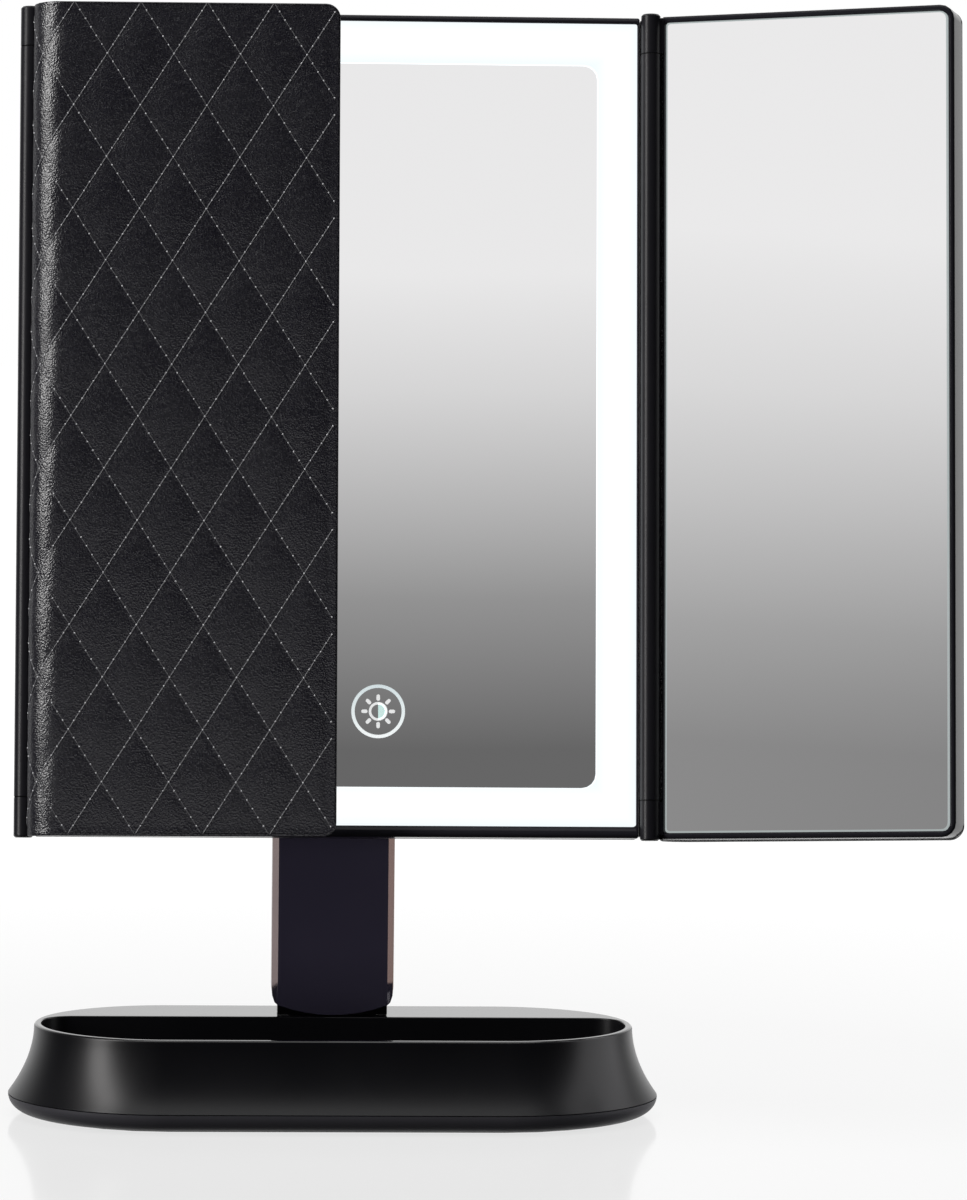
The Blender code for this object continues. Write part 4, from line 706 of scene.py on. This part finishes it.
def simulatedSwells():
    # cloth swollen by pressure between the sewn lines, scaled to one at its highest
    mesh, places, held = sheetGrid()
    for vertex, (along, level) in zip(mesh.verts, places):
        vertex.co = (along * sheet["scale"], level * sheet["scale"], 0)
    heldNow = [vertex.index for vertex in held]
    cloth = newObject("quiltSheet", newMesh("quiltSheet", mesh))
    cloth.vertex_groups.new(name="sewn").add(heldNow, 1.0, "REPLACE")
    change = cloth.modifiers.new("quiltCloth", "CLOTH")
    change.point_cache.frame_end = sheet["frames"]
    change.collision_settings.use_collision = False
    rules = change.settings
    rules.vertex_group_mass = "sewn"
    rules.quality, rules.mass, rules.air_damping = sheet["quality"], sheet["mass"], sheet["damping"]
    rules.tension_stiffness = rules.compression_stiffness = sheet["stiffness"]
    rules.shear_stiffness, rules.bending_stiffness = sheet["shear"], sheet["bending"]
    rules.use_pressure, rules.uniform_pressure_force = True, sheet["pressure"]
    rules.effector_weights.gravity = 0.0
    for count in range(1, sheet["frames"] + 1):
        bpy.context.scene.frame_set(count)
    swollen = cloth.evaluated_get(bpy.context.evaluated_depsgraph_get())
    heights = [vertex.co.z for vertex in swollen.data.vertices]
    bpy.data.meshes.remove(cloth.data)
    bpy.context.scene.frame_set(1)
    return [abs(height) / max(map(abs, heights)) for height in heights]


def cornerLevel(along, level):
    # the sheet's ends drawn in at its round corners
    start = quilt["half"] - quilt["cornerZone"]
    if abs(level) <= start:
        return level
    return copysign(start + (abs(level) - start) * (coverHalf(along) - start) / quilt["cornerZone"], level)


def makeCover(side, sign, swells):
    mesh, places = sheetGrid()[:2]
    rim = {}
    for vertex, (along, level), swell in zip(mesh.verts, places, swells):
        lifted = skinHeight(along, level, swell)
        if vertex.is_boundary:
            rim[vertex] = (along, cornerLevel(along, level))
        vertex.co = coverPoint(along, cornerLevel(along, level), lifted)
    brink = [edge for edge in mesh.edges if edge.is_boundary]
    below = {}
    ring, edges = freshRing(bmesh.ops.extrude_edge_only(mesh, edges=brink)["geom"])
    for vertex in ring:
        above = next(edge.other_vert(vertex) for edge in vertex.link_edges if edge.other_vert(vertex) in rim)
        below[vertex] = rim[above]
        along, level = rim[above]
        level = copysign(min(abs(level), quilt["half"] - turned["tuck"]), level)
        vertex.co = coverPoint(max(along, turned["tuck"]), level, -quilt["thickness"])
    # the back runs from the upper edge to the lower one
    ends = [edge for edge in edges
            if abs(below[edge.verts[0]][0] - below[edge.verts[1]][0]) > quilt["near"]]
    bmesh.ops.bridge_loops(mesh, edges=ends)
    bmesh.ops.holes_fill(mesh, edges=[edge for edge in mesh.edges if edge.is_boundary], sides=0)
    bmesh.ops.scale(mesh, verts=mesh.verts, vec=(sign, 1, 1))
    bmesh.ops.recalc_face_normals(mesh, faces=mesh.faces)
    bmesh.ops.transform(mesh, verts=mesh.verts, matrix=wingPlaces[side])
    piece = addPiece(f"{side}QuiltedCover", mesh, "leather", f"{side}_wing", 70)
    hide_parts(f"{side}_wing_cover")


def stitchPlaces(rising):
    # needle holes along one family of sewn lines, and the way to the next hole
    perRow = 2 * stitch["perCrossing"]
    run = Vector((quilt["pitch"] if rising else -quilt["pitch"], -quilt["rowPitch"])) / perRow
    for line in range(-quilt["rows"], 2 * quilt["rows"]):
        for step in range(quilt["rows"] * perRow + 1):
            down = step / perRow
            along = (line + (down if rising else -down)) * quilt["pitch"] + quilt["over"]
            level = quilt["half"] - quilt["over"] - down * quilt["rowPitch"]
            yield along, level, run


def onCover(along, level):
    margin = stitch["margin"]
    return margin < along < coverLength - margin and coverHalf(along) - abs(level) > margin


def beadShape():
    mesh = bmesh.new()
    around, along = stitch["beadSteps"]
    bmesh.ops.create_uvsphere(mesh, u_segments=around, v_segments=along, radius=1.0)
    return newMesh("threadBead", mesh)


def laidBead(mesh, bead, along, level, run, radius, length):
    # an oval bead of thread lying on the leather along a run
    height = skinHeight(along, level) + stitch["lift"]
    lead = run * stitch["lead"]
    ends = [coverPoint(along + lead.x * way, level + lead.y * way, height) for way in (-1, 1)]
    outward = (coverPoint(along, level, mm) - coverPoint(along, level, 0.0)).normalized()
    lengthwise = (ends[1] - ends[0]).normalized()
    turn = Matrix((outward.cross(lengthwise), outward, lengthwise)).transposed().to_4x4()
    size = Matrix.Diagonal((radius, radius, length / 2, 1))
    place = Matrix.Translation(coverPoint(along, level, height)) @ turn @ size
    bead.transform(place)
    mesh.from_mesh(bead)
    bead.transform(place.inverted())


def finishStitches(name, mesh, look, side, sign):
    bmesh.ops.scale(mesh, verts=mesh.verts, vec=(sign, 1, 1))
    bmesh.ops.recalc_face_normals(mesh, faces=mesh.faces)
    bmesh.ops.transform(mesh, verts=mesh.verts, matrix=wingPlaces[side])
    addPiece(name, mesh, look, f"{side}_wing", 180)


def makeStitches(side, sign):
    # the thread is paler with painted highlight at the needle holes, plain along one way, and darker with painted
    # shade along the other
    bead = beadShape()
    dots = bmesh.new()
    holes = 0
    families = ((True, "thread", stitch["radius"]), (False, "threadPaintedShade", stitch["sunkRadius"]))
    for rising, look, radius in families:
        runs = bmesh.new()
        for along, level, run in stitchPlaces(rising):
            if onCover(along, level):
                laidBead(dots, bead, along, level, run, stitch["dot"], stitch["dotLength"])
                holes += 1
            along, level = along + run.x / 2, level + run.y / 2
            if onCover(along, level):
                laidBead(runs, bead, along, level, run, radius, stitch["length"])
        finishStitches(f"{side}{'Rising' if rising else 'Falling'}Stitches", runs, look, side, sign)
    finishStitches(f"{side}NeedleHoles", dots, "threadPaintedHighlight", side, sign)
    bpy.data.meshes.remove(bead)
    return holes


swells = simulatedSwells()
print("padding swollen", "by simulation")
for side, sign in wingSigns.items():
    makeCover(side, sign, swells)
    stitchCount = makeStitches(side, sign)
    print(side, "cover quilted, stitches:", stitchCount)


# touch symbol, lit through the mirror
symbol = {
    "x": 12.0 * mm, "z": -86.05 * mm, "face": 0.17 * mm, "thickness": 0.03 * mm, "ring": 8.0 * mm,
    "stroke": 1.0 * mm, "sun": 2.8 * mm, "sunStroke": 0.75 * mm, "rayFrom": 3.7 * mm, "rayTo": 4.5 * mm,
    "rayWidth": 1.1 * mm, "rays": 8, "half": 2.5 * mm, "ringSteps": 72, "sunSteps": 48, "raySteps": 16,
}


def lampLook(name, top, low, strength):
    look, tree, shader, where = newLook(name, Roughness=0.3, Emission_Strength=strength)
    centre = headPlace @ Vector((symbol["x"], 0, symbol["z"]))
    height = addNode(tree, "ShaderNodeSeparateXYZ", {0: where}).outputs["Z"]
    fade = addNode(tree, "ShaderNodeMapRange", {
        "Value": height, "From Min": centre.z - symbol["ring"], "From Max": centre.z + symbol["ring"]})
    colour = mixColour(tree, fade.outputs["Result"], low, top)
    tree.links.new(colour, shader.inputs["Emission Color"])
    tree.links.new(colour, shader.inputs["Base Color"])
    return look


looks["symbolCyan"] = lampLook("symbolCyan", (0.66, 0.75, 0.77, 1), (0.93, 0.97, 0.97, 1), 0.85)
looks["symbolTeal"] = lampLook("symbolTeal", (0.57, 0.78, 0.75, 1), (0.62, 0.82, 0.78, 1), 0.85)
looks["symbolWhite"] = lampLook("symbolWhite", (0.95, 0.95, 0.95, 1), (0.95, 0.97, 0.97, 1), 0.7)


def flatRing(mesh, radius, stroke, steps):
    disc = bmesh.ops.create_circle(mesh, cap_ends=True, segments=steps, radius=radius)
    face = disc["verts"][0].link_faces[0]
    bmesh.ops.inset_region(mesh, faces=[face], thickness=stroke, use_boundary=True, use_even_offset=True)
    bmesh.ops.delete(mesh, geom=[face], context="FACES_ONLY")


def liftSymbol(mesh):
    made = bmesh.ops.extrude_face_region(mesh, geom=mesh.faces[:])["geom"]
    bmesh.ops.translate(mesh, verts=onlyVerts(made), vec=(0, 0, symbol["thickness"]))
    bmesh.ops.recalc_face_normals(mesh, faces=mesh.faces)
    stand = Matrix.Translation((symbol["x"], symbol["face"], symbol["z"])) @ Matrix.Rotation(pi / 2, 4, "X")
    bmesh.ops.transform(mesh, verts=mesh.verts, matrix=headPlace @ stand)
    return mesh


def makeSymbol():
    ring = bmesh.new()
    flatRing(ring, symbol["ring"], symbol["stroke"], symbol["ringSteps"])
    addPiece("touchRing", liftSymbol(ring), "symbolCyan", "head")

    sun = bmesh.new()
    flatRing(sun, symbol["sun"], symbol["sunStroke"], symbol["sunSteps"])
    for ray in range(symbol["rays"]):
        made = bmesh.ops.create_circle(sun, cap_ends=True, segments=symbol["raySteps"],
                                       radius=symbol["rayWidth"] / 2)["verts"]
        outer = [vertex for vertex in made if vertex.co.x > 0]
        bmesh.ops.translate(sun, verts=outer, vec=(symbol["rayTo"] - symbol["rayFrom"], 0, 0))
        bmesh.ops.translate(sun, verts=made, vec=(symbol["rayFrom"], 0, 0))
        bmesh.ops.rotate(sun, verts=made, matrix=Matrix.Rotation(2 * pi * ray / symbol["rays"], 3, "Z"))
    addPiece("touchSun", liftSymbol(sun), "symbolWhite", "head")

    half = bmesh.new()
    bmesh.ops.create_circle(half, cap_ends=True, segments=symbol["sunSteps"], radius=symbol["half"])
    bmesh.ops.bisect_plane(half, geom=everything(half), plane_co=(0, 0, 0), plane_no=(-1, 0, 0),
                           clear_outer=True)
    addPiece("touchHalf", liftSymbol(half), "symbolTeal", "head")


makeSymbol()
print("touch symbol made")


# camera, fitted to the photo's 967 x 1200 frame
view = {
    "place": (-0.05328, -1.83902, 0.27487), "turn": -3.018, "pitch": 86.274, "roll": 0.627,
    "focalPixels": 6160.4, "framePixels": 1200, "sensor": 36.0,
}
camera = newObject("camera", bpy.data.cameras.new("camera"))
camera.data.sensor_width = view["sensor"]
camera.data.lens = view["focalPixels"] / view["framePixels"] * view["sensor"]
camera.matrix_world = (
    Matrix.Translation(view["place"]) @ Matrix.Rotation(radians(view["turn"]), 4, "Z")
    @ Matrix.Rotation(radians(view["pitch"]), 4, "X") @ Matrix.Rotation(radians(view["roll"]), 4, "Z"))
bpy.context.scene.camera = camera

# studio
studio = {
    "floor": 8.0, "floorGlow": 0.73, "farGlow": 0.9, "nearBy": 0.25, "farOff": 1.0, "floorGloss": 0.15,
    "floorColour": 0.16, "floorRough": 0.1, "cardRadius": 2.5, "cardSteps": 96, "cardFoot": -1.5,
    "cardHeight": 5.0, "cardBack": 0.9, "cardMiddle": -0.3, "cardLeft": -1.36, "backLight": 1.0,
    "frontLight": 0.05, "backWay": (0.0, 1.0, 0.0), "backFrom": 0.5, "backFull": 0.9,
    "aim": (0.0, 0.0, 0.15),
}


def emptyLook(name):
    look = bpy.data.materials.new(name)
    look.use_nodes = True
    look.node_tree.nodes.clear()
    return look, look.node_tree


def makeFloor():
    mesh = bmesh.new()
    bmesh.ops.create_grid(mesh, x_segments=1, y_segments=1, size=studio["floor"])
    floor = newObject("floor", newMesh("floor", mesh))
    look, tree = emptyLook("paleFloor")
    floor.data.materials.append(look)
    grey, gloss = studio["floorColour"], studio["floorGloss"]
    where = addNode(tree, "ShaderNodeTexCoord").outputs["Object"]
    away = addNode(tree, "ShaderNodeVectorMath", {0: where}, operation="LENGTH").outputs["Value"]
    glow = addNode(tree, "ShaderNodeMapRange", {
        "Value": away, "From Min": studio["nearBy"], "From Max": studio["farOff"],
        "To Min": studio["floorGlow"], "To Max": studio["farGlow"]})
    lit = addNode(tree, "ShaderNodeEmission", {"Strength": glow.outputs["Result"]})
    matte = addNode(tree, "ShaderNodeBsdfDiffuse", {"Color": (grey, grey, grey, 1)})
    shine = addNode(tree, "ShaderNodeBsdfGlossy", {
        "Color": (gloss, gloss, gloss, 1), "Roughness": studio["floorRough"]})
    both = addNode(tree, "ShaderNodeAddShader", {0: lit.outputs[0], 1: matte.outputs[0]})
    both = addNode(tree, "ShaderNodeAddShader", {0: both.outputs[0], 1: shine.outputs[0]})
    addNode(tree, "ShaderNodeOutputMaterial", {"Surface": both.outputs[0]})
    floor.visible_glossy = False
    floor.visible_diffuse = False
    floor.visible_shadow = False


def rampColour(tree, value, stops):
    ramp = addNode(tree, "ShaderNodeValToRGB", {"Fac": value})
    marks = ramp.color_ramp.elements
    while len(marks) < len(stops):
        marks.new(0.5)
    for mark, (place, grey) in zip(marks, stops):
        mark.position = place
        mark.color = (grey, grey, grey, 1)
    return ramp.outputs["Color"]


def lightOnly(source, pieces):
    seen = bpy.data.collections.new(f"{source.name}Lights")
    for piece in pieces:
        seen.objects.link(piece)
    source.light_linking.receiver_collection = seen


def makeMirrorCard():
    # curved card that lights only the mirrors: pale above, grey below
    mesh = bmesh.new()
    bmesh.ops.create_circle(mesh, segments=studio["cardSteps"], radius=studio["cardRadius"],
                            matrix=Matrix.Translation((0, 0, studio["cardFoot"])))
    back = [vertex for vertex in mesh.verts if vertex.co.y > studio["cardBack"]]
    bmesh.ops.delete(mesh, geom=back, context="VERTS")
    made = bmesh.ops.extrude_edge_only(mesh, edges=mesh.edges[:])["geom"]
    bmesh.ops.translate(mesh, verts=freshRing(made)[0], vec=(0, 0, studio["cardHeight"]))
    card = newObject("mirrorCard", newMesh("mirrorCard", mesh))
    look, tree = emptyLook("cardGradient")
    card.data.materials.append(look)
    where = addNode(tree, "ShaderNodeTexCoord").outputs["Object"]
    parts = addNode(tree, "ShaderNodeSeparateXYZ", {0: where}).outputs
    middle = rampColour(tree, parts["Z"], [
        (0.594, 0.14), (0.703, 0.305), (0.768, 0.475), (0.855, 0.7), (0.943, 0.86), (0.99, 0.86)])
    leftward = rampColour(tree, parts["Z"], [
        (0.553, 0.275), (0.64, 0.395), (0.726, 0.57), (0.813, 0.735), (0.93, 0.87), (0.99, 0.87)])
    share = addNode(tree, "ShaderNodeMapRange", {
        "Value": parts["X"], "From Min": studio["cardMiddle"], "From Max": studio["cardLeft"]})
    light = addNode(tree, "ShaderNodeEmission", {
        "Color": mixColour(tree, share.outputs["Result"], middle, leftward)})
    addNode(tree, "ShaderNodeOutputMaterial", {"Surface": light.outputs[0]})
    card.visible_camera = False
    card.visible_diffuse = False
    card.visible_shadow = False
    wingGlass = [bpy.data.objects[f"{side}WingGlass"] for side in wingSigns]
    lightOnly(card, [nodes["centre_mirror"]] + wingGlass)


def makeWorld():
    world = bpy.data.worlds.new("studio")
    bpy.context.scene.world = world
    world.use_nodes = True
    tree = world.node_tree
    tree.nodes.clear()
    way = addNode(tree, "ShaderNodeTexCoord").outputs["Generated"]
    depth = addNode(tree, "ShaderNodeVectorMath", {0: way, 1: studio["backWay"]}, operation="DOT_PRODUCT")
    glow = addNode(tree, "ShaderNodeMapRange", {
        "Value": depth.outputs["Value"], "From Min": studio["backFrom"], "From Max": studio["backFull"],
        "To Min": studio["frontLight"], "To Max": studio["backLight"]})
    around = addNode(tree, "ShaderNodeBackground", {"Color": glow.outputs["Result"]})
    plain = addNode(tree, "ShaderNodeBackground", {"Color": (1, 1, 1, 1)})
    seen = addNode(tree, "ShaderNodeLightPath").outputs["Is Camera Ray"]
    both = addNode(tree, "ShaderNodeMixShader", {0: seen, 1: around.outputs[0], 2: plain.outputs[0]})
    addNode(tree, "ShaderNodeOutputWorld", {"Surface": both.outputs[0]})


softLit = [f"{side}{name}" for side in wingSigns for name in (
    "QuiltedCover", "RisingStitches", "FallingStitches", "NeedleHoles")]
hardLit = ["trayShell", "trayLip"] + [row[0] for row in hardCopies if "Glass" not in row[0]]
# place, width and height, radiance, tint, and the pieces lit if not all
softboxes = {
    "keyBox": ((-1.66, -0.94, 0.95), (0.6, 2.4), 8.2, (1.0, 0.98, 0.97), hardLit),
    "coverBox": ((-1.74, -0.8, 1.2), (0.8, 1.5), 11.0, (1.0, 0.99, 0.98), softLit),
    "sideBox": ((1.76, 0.08, 0.75), (1.8, 2.5), 1.6, (0.99, 0.98, 1.0), ["trayShell", "trayLip"]),
    "lowBox": ((-0.1, -1.7, -0.2), (1.6, 0.7), 0.95, (1.0, 0.99, 1.0), softLit),
    "neckBox": ((1.0, -1.5, 0.0), (1.0, 1.0), 9.5, (0.97, 0.93, 1.0), ["neckFront"]),
    "leftBox": ((-1.8, -0.02, -0.09), (0.5, 0.3), 4.8, (1.0, 0.8, 0.77), ["neckFront", "neckRear"]),
    "rightBox": ((1.8, 0.09, -0.09), (0.5, 0.3), 4.0, (1.0, 0.68, 0.58), ["neckFront", "neckRear"]),
    "topBox": ((0.0, -0.35, 1.9), (1.6, 1.6), 1.5, (1.0, 1.0, 1.0), None),
}


def makeLights():
    aim = Vector(studio["aim"])
    for name, (place, size, radiance, tint, lit) in softboxes.items():
        light = bpy.data.lights.new(name, "AREA")
        light.shape = "RECTANGLE"
        light.size, light.size_y = size
        light.energy = radiance * pi * size[0] * size[1]
        light.color = tint
        made = newObject(name, light)
        made.location = place
        made.rotation_euler = (aim - Vector(place)).to_track_quat("-Z", "Y").to_euler()
        made.visible_camera = False
        if lit:
            lightOnly(made, [bpy.data.objects[piece] for piece in lit])


makeFloor()
makeMirrorCard()
makeWorld()
makeLights()
bpy.context.scene.view_settings.view_transform = "Standard"
print("studio lit")
